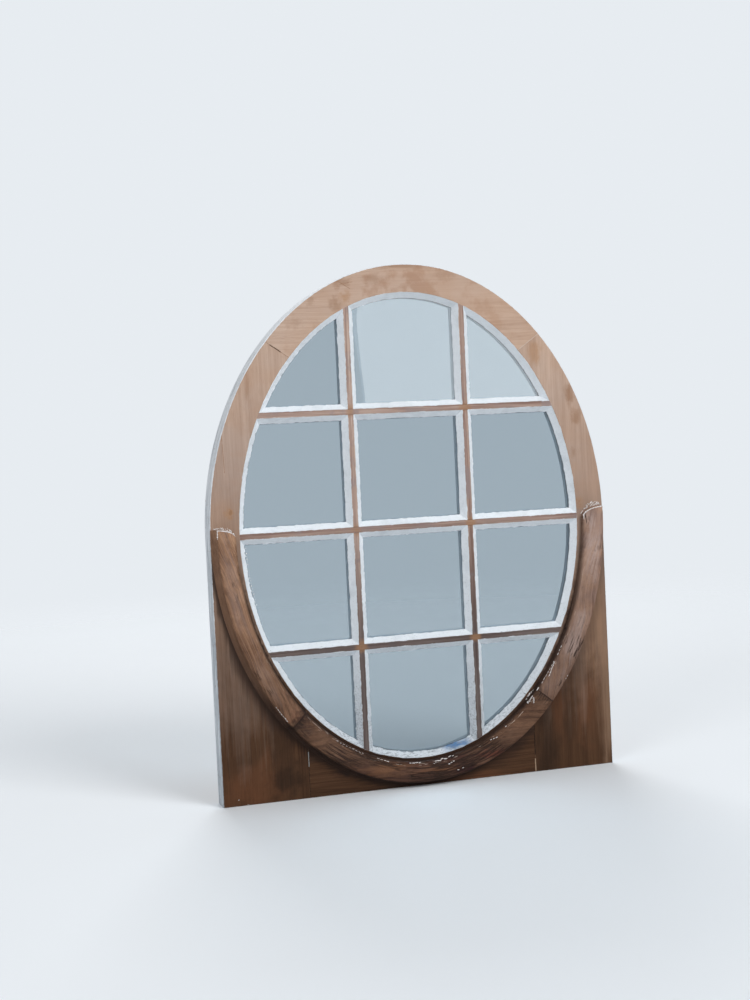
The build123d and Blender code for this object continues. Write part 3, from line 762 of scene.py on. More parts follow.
def moulding_wood(name, seed, light, dark, grey, cracked, outer_shade, joints, slope, contrast, patches=()):
    """Moulding with its grain straight along its board.

    It is weathered on the crown by a share grey, and darkened along its outer side by a painted shade of
    share outer_shade.
    Each joint is a place along the moulding, the width of its gap and the share of stain round it.
    """
    c = colours()
    f = Finish(name, Specular_IOR_Level=0.06)
    way = f.add("ShaderNodeAttribute", attribute_name="moulding_way").outputs["Vector"]
    along, across, _ = f.split(way)
    bent = f.maths("SUBTRACT", f.noise(f.place, 7.0, 2.0), 0.5)
    run = f.vector("DOT_PRODUCT", f.place, (cos(slope), 0.0, sin(slope)))
    beside = f.vector("DOT_PRODUCT", f.place, (-sin(slope), 0.0, cos(slope)))
    board = f.join(run, f.maths("MULTIPLY_ADD", bent, 0.03, beside), f.y)
    grain = f.group(GRAIN, way=board, seed=seed, lines=70.0, waviness=0.6)
    stains = f.group(BLOTCH, place=f.place, size=0.09, seed=seed)
    tone = wood_tone(f, grain, 0.35, contrast)
    colour = f.mix(tone, light, dark)
    hue = f.ramp(f.noise(f.place, 22.0, 3.0), 0.38, 0.62)
    colour = f.mix(f.times(hue, 0.35), colour, f.mix(tone, c.warm_light, c.warm_dark))
    bleached = f.times(f.ramp(across, -0.023, -0.012), f.ramp(across, 0.014, 0.002))
    patchy = f.maths("MULTIPLY_ADD", grain["Streaks"], 0.35, stains["Soft"])
    bleached = f.times(bleached, f.ramp(patchy, 0.52, 0.80))
    colour = f.mix(f.times(bleached, grey), colour, c.drip_grey)
    # Darker lower down and darkest at the foot of the oval: weathering, and also a painted shade for less
    # light falls low on the window
    height = f.sway(f.z, stains["Soft"], 0.25)
    height = f.sway(height, grain["Bands"], 0.10)
    lower = f.ramp(height, 0.48, 0.10, 0.0, 0.85)
    colour = f.mix(lower, colour, f.mix(tone, c.drip_low_light, c.drip_low_dark))
    foot_share = f.ramp(f.sway(f.z, stains["Soft"], 0.12), 0.090, 0.025)
    foot_wood = f.mix(tone, c.drip_foot_light, c.drip_foot_dark)
    colour = f.mix(f.times(foot_share, 0.75), colour, foot_wood)
    glints = f.times(grain["Glints"], 0.25 * contrast - 0.15)
    colour = f.mix(glints, colour, f.mix(lower, light, c.warm_dark))
    for patch_colour, middle, size, share in patches:
        colour = f.spot(colour, named_colour(patch_colour), middle, size, share, depth=0.2)
    # A painted shade on the moulding's outer side, the cove under its nosing, darker low down
    outside = f.ramp(f.maths("MULTIPLY_ADD", stains["Soft"], 0.006, across), 0.0155, 0.0205)
    outside = f.times(outside, f.ramp(f.z, 0.55, 0.38, 0.55, outer_shade))
    colour = f.mix(outside, colour, f.mix(f.ramp(height, 0.40, 0.12), c.drip_painted_shade, c.stain))
    # A painted shade along the moulding's inner foot, where it meets the ledge, deeper low down
    foot = f.ramp(f.maths("MULTIPLY_ADD", grain["Streaks"], 0.003, across), -0.0175, -0.0222)
    colour = f.mix(f.times(foot, f.ramp(f.z, 0.55, 0.25, 0.2, 0.75)), colour, c.stain)

    # Splits along the moulding, and the gaps of its joints
    split = f.noise(f.vector("MULTIPLY", way, (6.0, 150.0, 0.0)), 1.0, 4.0, 0.6)
    wide = 0.014 + 0.040 * cracked * cracked
    split = f.ramp(f.maths("ABSOLUTE", f.maths("SUBTRACT", split, 0.5)), wide, wide * 0.3)
    split_from, split_to = 0.64 - 0.22 * cracked, 0.74 - 0.22 * cracked
    split = f.times(split, f.ramp(stains["Soft"], split_from, split_to))
    for place, width, stained in joints:
        near = f.maths("ABSOLUTE", f.maths("SUBTRACT", along, place))
        ragged = f.maths("SUBTRACT", f.noise(f.place, 100.0, 4.0, 0.65), 0.5)
        around = f.maths("MULTIPLY_ADD", ragged, -0.060, near)
        colour = f.mix(f.ramp(around, 0.022, 0.0, 0.0, stained), colour, c.stain)
        gap = f.ramp(f.maths("MULTIPLY_ADD", ragged, 0.0012, near), width, width * 0.3)
        split = f.maths("MAXIMUM", split, gap)
    colour = f.mix(f.times(split, 0.85), colour, c.stain)

    # Flecks of pale wood along the foot
    flakes = f.noise(f.vector("MULTIPLY", way, (40.0, 520.0, 60.0)), 1.0, 3.0, 0.6)
    near_foot = f.ramp(f.maths("ABSOLUTE", f.maths("ADD", across, 0.0195)), 0.0045, 0.001)
    left_over = f.times(near_foot, f.ramp(flakes, 0.63 - 0.04 * cracked, 0.67))
    colour = f.mix(f.times(left_over, 0.7 * cracked), colour, c.worn_light)
    height = f.maths("SUBTRACT", grain["Relief"], f.times(split, 1.6))
    rough = f.maths("MULTIPLY_ADD", grain["Fibres"], 0.2, 0.46)
    return f.end(colour, rough, height, 0.0007)


def putty_paint():
    """Painted putty: chalky white, with specks and knife marks."""
    c = colours()
    f = Finish("painted putty", Specular_IOR_Level=0.3)
    stains = f.group(BLOTCH, place=f.place, size=0.03, seed=2.0)
    wide = f.group(BLOTCH, place=f.place, size=0.13, seed=4.0)
    colour = f.mix(f.times(stains["Patches"], 0.16), c.white, c.white_old)
    colour = f.mix(f.times(wide["Patches"], 0.10), colour, c.white_old)
    # A painted shade: the paint greyer towards the bottom, where less light falls
    colour = f.mix(f.ramp(f.z, 0.45, 0.05, 0.0, 0.55), colour, c.white_old)
    smear_middle, smear_size = (0.062, 0.0745), (0.044, 0.017)
    colour = f.spot(colour, c.blue_paint, smear_middle, smear_size, 0.95, depth=0.06)
    crumbled = f.noise(f.vector("MULTIPLY", f.place, (110.0, 300.0, 330.0)), 1.0, 5.0, 0.7)
    crumbled = f.ramp(crumbled, 0.49, 0.60)
    crumbled = f.times(crumbled, f.ramp(f.z, 0.27, 0.06, 0.08, 0.75))
    colour = f.mix(crumbled, colour, c.putty_grey)
    for start, end in PUTTY_CRACKS:
        colour = f.mix(f.crack(start, end, 0.0016), colour, c.stain)
    dirt = f.times(stains["Specks"], f.ramp(f.z, 0.60, 0.15, 0.25, 1.0))
    colour = f.mix(f.times(dirt, 0.8), colour, c.stain)
    marks = f.noise(f.place, 700.0, 3.0, 0.6)
    relief = f.maths("MULTIPLY_ADD", stains["Soft"], 0.8, f.times(marks, 0.25))
    relief = f.maths("MULTIPLY_ADD", crumbled, -0.15, relief)
    return f.end(colour, 0.55, relief, 0.0012)


def old_paint():
    """Flecks and crumbs of old paint: chalky, soiled and a little pink."""
    c = colours()
    f = Finish("old paint", Specular_IOR_Level=0.3)
    soiled = f.ramp(f.noise(f.place, 260.0, 4.0, 0.65), 0.42, 0.66)
    colour = f.mix(soiled, c.flake, c.flake_old)
    # A painted shade: the flecks a little darker towards the bottom, where less light falls
    colour = f.mix(f.ramp(f.z, 0.50, 0.15, 0.0, 0.15), colour, c.flake_old)
    return f.end(colour, 0.6, f.noise(f.place, 900.0, 3.0), 0.0004)


def clear_glass():
    """Old drawn glass: faintly blue, not quite flat, and clear to lamps."""
    f = Finish("glass", Transmission_Weight=1.0, IOR=1.5, Roughness=0.0)
    f.put(f.shader.inputs["Base Color"], named_colour("glass"))
    wave = f.noise(f.vector("MULTIPLY", f.place, (6.0, 6.0, 2.0)), 1.0, 2.0, 0.4)
    bump = f.add("ShaderNodeBump")
    for name, value in (("Strength", 1.0), ("Distance", 0.0012), ("Height", wave)):
        f.put(bump.inputs[name], value)
    f.put(f.shader.inputs["Normal"], bump.outputs[0])
    clear = f.add("ShaderNodeBsdfTransparent", named_colour("glass"))
    pick = f.add("ShaderNodeMixShader", f.add("ShaderNodeLightPath").outputs["Is Shadow Ray"],
                 f.shader.outputs[0], clear.outputs[0])
    f.tree.links.new(pick.outputs[0], f.tree.nodes["Material Output"].inputs[0])
    return f.material


def end_wood(name, seed):
    """Wood of pegs and tenons, whose ends show rings."""
    c = colours()
    f = Finish(name)
    grain = f.group(GRAIN, way=f.join(f.y, f.x, f.z), seed=seed, lines=420.0, waviness=0.3)
    colour = f.mix(wood_tone(f, grain, 0.6), c.stile_light, c.stile_dark)
    return f.end(colour, 0.6, grain["Relief"], 0.0004)


def dull_steel():
    """Steel points and nails, gone dull and spotted with rust."""
    c = colours()
    f = Finish("dull steel", Metallic=0.85)
    stains = f.group(BLOTCH, place=f.place, size=0.012, seed=1.0)
    colour = f.mix(stains["Patches"], c.steel, c.rust)
    return f.end(colour, f.ramp(stains["Soft"], 0.4, 0.7, 0.4, 0.8), stains["Soft"], 0.0003)


# Pieces

def wear(node, material):
    """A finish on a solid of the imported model."""
    node.data.materials.clear()
    node.data.materials.append(material)


def piece(name, points, faces, material, slot, nodes=(), smooth=None):
    """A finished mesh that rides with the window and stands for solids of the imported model."""
    mesh = bpy.data.meshes.new(name)
    mesh.from_pydata([tuple(p) for p in points], [], faces)
    body = bpy.data.objects.new(name, mesh)
    bpy.context.scene.collection.objects.link(body)
    finish_piece(body, material, nodes, smooth)


def finish_piece(body, material, nodes=(), smooth=None):
    """Cleans a mesh, gives it its finish, hides the solids that it stands for and hangs it on the window's
    root.
    """
    mesh = body.data
    shape = bmesh.new()
    shape.from_mesh(mesh)
    bmesh.ops.remove_doubles(shape, verts=shape.verts, dist=1e-6)
    bmesh.ops.recalc_face_normals(shape, faces=shape.faces)
    shape.to_mesh(mesh)
    shape.free()
    mesh.materials.clear()
    mesh.materials.append(material)
    if smooth is not None:
        mesh.shade_smooth()
        mesh.set_sharp_from_angle(angle=radians(smooth))
    if nodes:
        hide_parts(*nodes)
    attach(body, "root")


def bar_places():
    """Middles of the upright bars, and of the level bars about the oval's middle."""
    s = sizes()
    across = (2 * s.half_width + s.bar_face) / 3
    up = s.half_height / 2
    return (-across / 2, across / 2), (-up, 0.0, up)


def opening_corners(column, row, inset):
    """Corners of a pane's opening made smaller all round, each with whether it is on the oval."""
    s = sizes()
    wide, high = s.half_width - inset, s.half_height - inset
    uprights, levels = bar_places()
    edge = s.bar_face / 2 + inset
    x_limits, z_limits = (-inf, *uprights, inf), (-inf, *levels, inf)
    x_low, x_high = x_limits[column] + edge, x_limits[column + 1] - edge
    z_low, z_high = z_limits[row] + edge, z_limits[row + 1] - edge
    corners = []
    for x, z in ((x_low, z_low), (x_high, z_low), (x_high, z_high), (x_low, z_high)):
        if isfinite(x) and isfinite(z):
            corners.append((x, z, False))
        elif isfinite(z):
            reach = wide * sqrt(1 - (z / high) ** 2)
            corners.append((reach if x > 0 else -reach, z, True))
        elif isfinite(x):
            reach = high * sqrt(1 - (x / wide) ** 2)
            corners.append((x, reach if z > 0 else -reach, True))
    return corners


def opening_ring(column, row, inset, counts):
    """Points round a pane's opening, a given number along each side."""
    s = sizes()
    wide, high = s.half_width - inset, s.half_height - inset
    corners = opening_corners(column, row, inset)
    ring = []
    for (x0, z0, on0), (x1, z1, on1), count in zip(corners, corners[1:] + corners[:1], counts):
        turn0, turn1 = atan2(z0 / high, x0 / wide), atan2(z1 / high, x1 / wide)
        sweep = (turn1 - turn0) % (2 * pi)
        for step in range(count):
            share = step / count
            if on0 and on1:
                turn = turn0 + sweep * share
                ring.append((wide * cos(turn), high * sin(turn)))
            else:
                ring.append((x0 + (x1 - x0) * share, z0 + (z1 - z0) * share))
    return ring


def side_counts(column, row, spacing):
    """How many points each side of a pane's opening gets, about a spacing apart."""
    corners = opening_corners(column, row, 0.0)
    return [max(2, round(sqrt((x1 - x0) ** 2 + (z1 - z0) ** 2) * 1.03 / spacing))
            for (x0, z0, _), (x1, z1, _) in zip(corners, corners[1:] + corners[:1])]


def roughness_at(x, z, scale, seed):
    """Noise about 0 at a point of the window's face."""
    return noise.fractal(Vector((x * scale, z * scale, seed)), 0.8, 2.0, 4)


def putty_mesh(column, row):
    """Putty round one pane: a knifed slope with a ragged foot on the glass, and its hidden bed."""
    s = sizes()
    spacing, gap, slope_steps = 0.0016, 0.00005, 7
    counts = side_counts(column, row, spacing)
    bed = s.rebate_depth - gap
    seed = 3.7 * column + 11.3 * row

    # The rings of the section, each by its inset and depth: the land, the slope and the hidden bed
    stations = [(gap, s.putty_setback + 0.0003), (0.0003, s.putty_setback)]
    for step in range(slope_steps + 1):
        share = step / slope_steps
        stations.append((s.putty_land + (s.putty_width - s.putty_land) * share,
                         s.putty_setback + (s.glass_front - gap - s.putty_setback) * share))
    hidden = [(s.glass_gap - gap, s.glass_front - gap), (s.glass_gap - gap, s.glass_back + gap),
              (s.putty_width, s.glass_back + gap), (s.putty_width, bed), (gap, bed)]

    # Each point moves in or out along the millimetre between its ring and the next one in
    middle = opening_ring(column, row, s.putty_width / 2, counts)
    rings = []
    for index, (inset, depth) in enumerate(stations + hidden):
        base = opening_ring(column, row, inset, counts)
        further = opening_ring(column, row, inset + 0.001, counts)
        ring = []
        for (x, z), (fx, fz), (mx, mz) in zip(base, further, middle):
            share = (index - 2) / slope_steps
            move = drop = 0.0
            if 0 < share <= 1:
                ragged = ragged_foot(mx, mz)
                move = (roughness_at(mx, mz, 80, seed) * 0.0009 * (1 + 1.5 * ragged)
                        + roughness_at(mx, mz, 420, seed + 5) * (0.0004 + 0.0012 * ragged)) * share ** 3
            if 0 <= share < 1:
                drop = roughness_at(x, z, 75, seed + 9) * 0.0005 * sin(pi * min(1, share + 0.15))
                drop += 0.00025 * sin(pi * share)
            move = max(-0.9, min(1.4, move * 1000))
            ring.append((x + (fx - x) * move, depth + max(drop, -0.0004) - s.thickness / 2,
                         z + (fz - z) * move + s.oval_z))
        rings.append(ring)
    size = len(middle)
    points = [p for ring in rings for p in ring]
    faces = []
    for a in range(len(rings)):
        b = (a + 1) % len(rings)
        for i in range(size):
            j = (i + 1) % size
            faces.append((a * size + i, a * size + j, b * size + j, b * size + i))
    return points, faces


def ragged_foot(x, z):
    """How ragged the putty's foot is: most beside the left pane of the lower row."""
    worst_height, worst_reach, worst_left = -0.075, 0.09, -0.27
    left = max(0.0, 1 - abs(z - worst_height) / worst_reach) if x < worst_left else 0.0
    low_start, low_reach = 0.28, 0.1
    low = max(0.0, min(1.0, (-z - low_start) / low_reach)) * 0.5
    return min(1.0, 1.4 * left + low)


def moulding_profile():
    """Half-open outline of the drip moulding: across its width, and up from the weather face."""
    s = sizes()
    half = s.drip_width / 2
    top = s.drip_height
    # The inner side and its eased arris
    points = [(-half, 0.0), (-half, 0.010), (-half + 0.0004, 0.0107), (-half + 0.0012, 0.0115)]
    # The face: an arc from the inner edge over its crown to the outer arris
    inner, crown, arris = (-half, 0.011), (-0.00762, 0.0205), (half - 0.009, top)
    for step in range(1, 17):
        x = -half + 0.0012 + (arris[0] - 0.0014 + half - 0.0012) * step / 16
        points.append((x, arc_height(x, inner, crown, arris) - (0.0004 if step == 16 else 0.0)))
    # The eased arris and the nosing
    points += [(half - 0.0095, top - 0.0009), (half - 0.0091, top - 0.0018), (half - 0.009, top - 0.005)]
    # The cove, from the nosing down to the foot of the outer side
    nosing, cove, foot = (half - 0.009, top - 0.005), (half - 0.0065, 0.007), (half, 0.0)
    for step in range(1, 9):
        z = nosing[1] * (1 - step / 9)
        points.append((arc_height(z, nosing[::-1], cove[::-1], foot[::-1]), z))
    points.append(foot)
    return points


def arc_height(x, a, b, c):
    """Height at x of the circle through three points, on the side where the points are."""
    d = 2 * (a[0] * (b[1] - c[1]) + b[0] * (c[1] - a[1]) + c[0] * (a[1] - b[1]))
    squares = [p[0] ** 2 + p[1] ** 2 for p in (a, b, c)]
    ux = (squares[0] * (b[1] - c[1]) + squares[1] * (c[1] - a[1]) + squares[2] * (a[1] - b[1])) / d
    uy = (squares[0] * (c[0] - b[0]) + squares[1] * (a[0] - c[0]) + squares[2] * (b[0] - a[0])) / d
    radius = sqrt((a[0] - ux) ** 2 + (a[1] - uy) ** 2)
    rise = sqrt(max(0.0, radius ** 2 - (x - ux) ** 2))
    return uy + rise if b[1] > uy else uy - rise


def moulding_nodes():
    """Geometry nodes that run a profile along the lower half of an oval."""
    tree = bpy.data.node_groups.new("Moulding along an oval", "GeometryNodeTree")
    face = tree.interface
    face.new_socket("Profile", in_out="INPUT", socket_type="NodeSocketGeometry")
    numbers = {
        "Half width": 0.383, "Half height": 0.4895, "Middle": 0.515, "Weather face": -0.024,
        "Start": -0.83, "End": 0.0, "Tongue": 0.0, "Tongue rise": 0.017, "Tongue drop": 0.007,
        "Tongue roundness": 2.5, "Moulding width": 0.048, "Side": 1.0, "Wear": 0.0006, "Seed": 0.0,
    }
    for label, default in numbers.items():
        socket = face.new_socket(label, in_out="INPUT", socket_type=NUMBER)
        socket.default_value = default
    for label, default in (("Steps along", 300), ("Steps across", 40)):
        socket = face.new_socket(label, in_out="INPUT", socket_type="NodeSocketInt")
        socket.default_value = default
    face.new_socket("Wood", in_out="INPUT", socket_type="NodeSocketMaterial")
    face.new_socket("Moulding", in_out="OUTPUT", socket_type="NodeSocketGeometry")
    g = Graph(tree)
    given, out = g.add("NodeGroupInput").outputs, g.add("NodeGroupOutput").inputs
    profile = g.add("GeometryNodeMeshToCurve", given["Profile"]).outputs[0]
    grid = g.add("GeometryNodeMeshGrid", 1.0, 1.0, given["Steps along"], given["Steps across"]).outputs[0]
    place = g.add("GeometryNodeInputPosition").outputs[0]
    u, v, _ = g.split(g.vector("ADD", place, (0.5, 0.5, 0.0)))
    last = g.maths("SUBTRACT", given["Steps along"], 1.0)
    row = g.times(u, last)
    inner_row = g.maths("DIVIDE", g.maths("SUBTRACT", row, 1.0), g.maths("SUBTRACT", last, 2.0), clamp=True)
    before_end = g.maths("LESS_THAN", row, g.maths("SUBTRACT", last, 0.5))
    standing = g.times(g.maths("GREATER_THAN", row, 0.5), before_end)
    sample = g.add("GeometryNodeSampleCurve", profile, mode="FACTOR")
    g.put(sample.inputs["Factor"], v)
    across, up, _ = g.split(sample.outputs["Position"])
    up = g.times(up, standing)
    inset = g.maths("SUBTRACT", across, g.maths("DIVIDE", given["Moulding width"], 2.0))
    bow = g.maths("ABSOLUTE", g.maths("DIVIDE", inset, given["Moulding width"]))
    bow = g.maths("SUBTRACT", 1.0, g.maths("POWER", bow, given["Tongue roundness"]))
    bow = g.maths("POWER", g.maths("MAXIMUM", bow, 0.0), g.maths("DIVIDE", 1.0, given["Tongue roundness"]))
    tongue = g.maths("ADD", given["Tongue rise"], given["Tongue drop"])
    tip = g.maths("SUBTRACT", g.times(bow, tongue), given["Tongue drop"])
    lean = g.maths("DIVIDE", given["Half width"], given["Half height"])
    rise = g.maths("ADD", given["Half height"], g.times(across, lean))
    end = g.maths("MULTIPLY_ADD", g.maths("DIVIDE", tip, rise), given["Tongue"], given["End"])
    turn = g.maths("MULTIPLY_ADD", g.maths("SUBTRACT", end, given["Start"]), inner_row, given["Start"])
    cosine, sine = g.maths("COSINE", turn), g.maths("SINE", turn)
    out_x = g.maths("DIVIDE", cosine, given["Half width"])
    out_z = g.maths("DIVIDE", sine, given["Half height"])
    out_x, out_z, _ = g.split(g.vector("NORMALIZE", g.join(out_x, out_z, 0.0)))
    x = g.maths("MULTIPLY_ADD", across, out_x, g.times(given["Half width"], cosine))
    z = g.maths("MULTIPLY_ADD", across, out_z, g.times(given["Half height"], sine))
    along = g.times(turn, given["Half height"])
    way = g.join(along, across, up)
    rough_place = g.vector("MULTIPLY", way, (14.0, 130.0, 60.0))
    rough_place = g.vector("ADD", rough_place, g.join(given["Seed"], given["Seed"], 0.0))
    rough = g.add("ShaderNodeTexNoise", rough_place).outputs[0]
    dent_place = g.vector("MULTIPLY", way, (30.0, 40.0, 20.0))
    dent_place = g.vector("ADD", dent_place, g.join(given["Seed"], 4.0, 0.0))
    dents = g.add("ShaderNodeTexNoise", dent_place).outputs[0]
    dented = g.times(g.ramp(dents, 0.56, 0.75), g.times(given["Wear"], 2.2))
    loss = g.maths("ADD", g.times(rough, given["Wear"]), dented)
    raised = g.ramp(up, 0.006, 0.010)
    top = g.maths("SUBTRACT", up, g.times(loss, raised))
    y = g.maths("SUBTRACT", given["Weather face"], top)
    sided = g.times(x, given["Side"])
    height = g.maths("ADD", z, given["Middle"])
    faces = []
    for lifted in (y, given["Weather face"]):
        placed = g.add("GeometryNodeSetPosition", grid)
        g.put(placed.inputs["Position"], g.join(sided, lifted, height))
        kept = g.add("GeometryNodeStoreNamedAttribute", data_type="FLOAT_VECTOR", domain="POINT")
        source = g.add("GeometryNodeCaptureAttribute", grid)
        source.capture_items.new("VECTOR", "Way")
        g.put(source.inputs["Way"], way)
        g.put(placed.inputs["Geometry"], source.outputs["Geometry"])
        g.put(kept.inputs["Geometry"], placed.outputs[0])
        g.put(kept.inputs["Name"], "moulding_way")
        g.put(kept.inputs["Value"], source.outputs["Way"])
        faces.append(kept.outputs[0])
    joined = g.add("GeometryNodeJoinGeometry")
    for made in faces:
        g.tree.links.new(made, joined.inputs[0])
    merged = g.add("GeometryNodeMergeByDistance", joined.outputs[0])
    merge_distance = 0.000002
    g.put(merged.inputs["Distance"], merge_distance)
    real = g.add("GeometryNodeRealizeInstances", merged.outputs[0])
    finished = g.add("GeometryNodeSetMaterial", real.outputs[0])
    g.put(finished.inputs["Material"], given["Wood"])
    g.put(out["Moulding"], finished.outputs[0])
    return tree


def moulding_piece(tree, node, values, material):
    """One length of moulding made by the node tree, as a plain mesh."""
    profile = moulding_profile()
    source = bpy.data.meshes.new("moulding profile")
    source.from_pydata([(x, y, 0.0) for x, y in profile], [(i, i + 1) for i in range(len(profile) - 1)], [])
    holder = bpy.data.objects.new("moulding profile", source)
    bpy.context.scene.collection.objects.link(holder)
    modifier = holder.modifiers.new("Moulding", "NODES")
    modifier.node_group = tree
    for item in tree.interface.items_tree:
        if item.item_type == "SOCKET" and item.in_out == "INPUT" and item.name in values:
            modifier[item.identifier] = values[item.name]
    bpy.context.view_layer.update()
    shown = holder.evaluated_get(bpy.context.evaluated_depsgraph_get())
    mesh = bpy.data.meshes.new_from_object(shown)
    holder.modifiers.clear()
    bpy.data.objects.remove(holder)
    body = bpy.data.objects.new(f"{node}_moulded", mesh)
    bpy.context.scene.collection.objects.link(body)
    finish_piece(body, material, [node], smooth=35)


def profile_height(across):
    """Height of the moulding's face at a place across its width."""
    points = moulding_profile()
    for (x0, y0), (x1, y1) in zip(points, points[1:]):
        if x0 <= across <= x1 and x1 > x0:
            return y0 + (y1 - y0) * (across - x0) / (x1 - x0)
    return points[0][1]


def moulding_point(side, turn, across, up):
    """A point of the moulding from its angle round the oval, place across and height."""
    s = sizes()
    outward = Vector((cos(turn) / s.drip_half_width, 0.0, sin(turn) / s.drip_half_height)).normalized()
    x = s.drip_half_width * cos(turn) + across * outward.x
    z = s.drip_half_height * sin(turn) + across * outward.z
    return Vector((side * x, -s.thickness / 2 - up, z + s.oval_z))


def tip_turn(across):
    """Angle at which the moulding's rounded tip ends, at a place across its width."""
    s = sizes()
    bow = abs(across - s.drip_width / 2) / s.drip_width
    bow = max(0.0, 1 - bow ** s.tongue_round) ** (1 / s.tongue_round)
    tip = bow * (s.tongue_rise + s.tongue_drop) - s.tongue_drop
    return tip / (s.drip_half_height + across * s.drip_half_width / s.drip_half_height)


def bead_mesh(path, radius, seed):
    """A thin ragged bead along points, pointed at both ends."""
    points, faces, around = [], [], 7
    for index, middle in enumerate(path):
        ahead = (path[min(index + 1, len(path) - 1)] - path[max(index - 1, 0)]).normalized()
        side = ahead.cross(Vector((0, 1, 0))).normalized()
        lift = side.cross(ahead)
        ends = min(1.0, 0.15 + index / 4, 0.15 + (len(path) - 1 - index) / 4)
        thick = radius * ends * (0.8 + 0.9 * noise.noise(middle * 420 + Vector((seed, 0, 0))))
        for step in range(around):
            turn = 2 * pi * step / around
            points.append(middle + thick * (side * cos(turn) + 0.7 * lift * sin(turn)))
    for index in range(len(path) - 1):
        for step in range(around):
            a, b = index * around + step, index * around + (step + 1) % around
            faces.append((a, b, b + around, a + around))
    faces.append(tuple(range(around))[::-1])
    faces.append(tuple(range(len(points) - around, len(points))))
    return points, faces


def flake_mesh(middle, along, outward, length, width, height, seed):
    """A ragged crumb of paint lying on a surface, with a smaller top than foot."""
    along = (along - outward * along.dot(outward)).normalized()
    side = outward.cross(along)
    around = 11
    points = []
    for level, share in ((-0.00015, 1.0), (height * 0.6, 0.92), (height, 0.6)):
        for step in range(around):
            turn = 2 * pi * step / around
            rough = 0.75 + 0.6 * noise.noise(Vector((3.1 * cos(turn), 3.1 * sin(turn), seed * 7.7)))
            curl = height * 0.5 * cos(turn) ** 2 if level > 0 else 0.0
            around_middle = along * (length / 2 * cos(turn)) + side * (width / 2 * sin(turn))
            points.append(middle + share * rough * around_middle + outward * (level + curl))
    faces = [tuple(range(around))[::-1], tuple(range(2 * around, 3 * around))]
    for ring in range(2):
        for step in range(around):
            a, b = ring * around + step, ring * around + (step + 1) % around
            faces.append((a, b, b + around, a + around))
    return points, faces


def crumbs_along(start, end, count, length, width, height, outward, seed):
    """Crumbs of paint in a broken row between two points of a flat surface."""
    made = []
    run = end - start
    side = outward.cross(run).normalized()
    for index in range(count):
        share = (index + 0.5) / count
        wander = noise.noise(Vector((index * 3.7, seed, 1.0)))
        size = 0.7 + 0.6 * abs(noise.noise(Vector((index * 5.1, seed, 8.0))))
        along = run.normalized() + side * wander
        middle = start + run * (share + 0.3 * wander / count)
        made.append(flake_mesh(middle, along, outward, length * size, width * size, height, seed + index))
    return made


def flecks_on_moulding(side, start, end, count, length, width, seed, height=0.0004, lean=0.0):
    """Crumbs of paint in a broken row on the moulding, between two places given as angle and across."""
    made = []
    sunk = 0.0003
    for index in range(count):
        share = (index + 0.5) / count
        wander = noise.noise(Vector((index * 2.9, seed, 4.0)))
        turn = radians(start[0] + (end[0] - start[0]) * share)
        across = start[1] + (end[1] - start[1]) * share + wander * 0.0012
        here = moulding_point(side, turn, across, profile_height(across) - sunk)
        on = moulding_point(side, turn + 0.004, across, profile_height(across) - sunk)
        over = moulding_point(side, turn, across + 0.001, profile_height(across + 0.001) - sunk)
        outward = (on - here).cross(over - here).normalized()
        outward = outward if outward.y < 0 else -outward
        size = 0.8 + 0.7 * abs(wander)
        run = (on - here).normalized() + (over - here).normalized() * lean * wander
        made.append(flake_mesh(here, run, outward, length * size, width * size, height, seed + index))
    return made


def specks_at_tip(side, count, seed):
    """Small specks of paint on the frame's face, strewn in a band above the moulding's rounded tip."""
    s = sizes()
    noise.seed_set(seed)
    nearest, spread, smallest, thickness = 0.0016, 0.0095, 0.0014, 0.0006
    made = []
    for index in range(count):
        share, lift, turned, grown = (noise.random() for _ in range(4))
        across = s.drip_width * (0.36 - 0.84 * share)
        band = sin(pi * min(1.0, 0.15 + share)) if side > 0 else 0.55 * sin(pi * share)
        away = nearest + spread * lift * band
        on = moulding_point(side, tip_turn(across), across, 0.0)
        back = moulding_point(side, tip_turn(across - 0.002), across - 0.002, 0.0)
        run = (back - on).normalized()
        out = Vector((run.z, 0.0, -run.x))
        out = out if out.z > 0 else -out
        size = smallest + smallest * grown
        along, outward = run + out * (2 * turned - 1), Vector((0, -1, 0))
        made.append(flake_mesh(on + out * away, along, outward, size * 1.5, size, thickness, seed + index))
    return made


# Operators

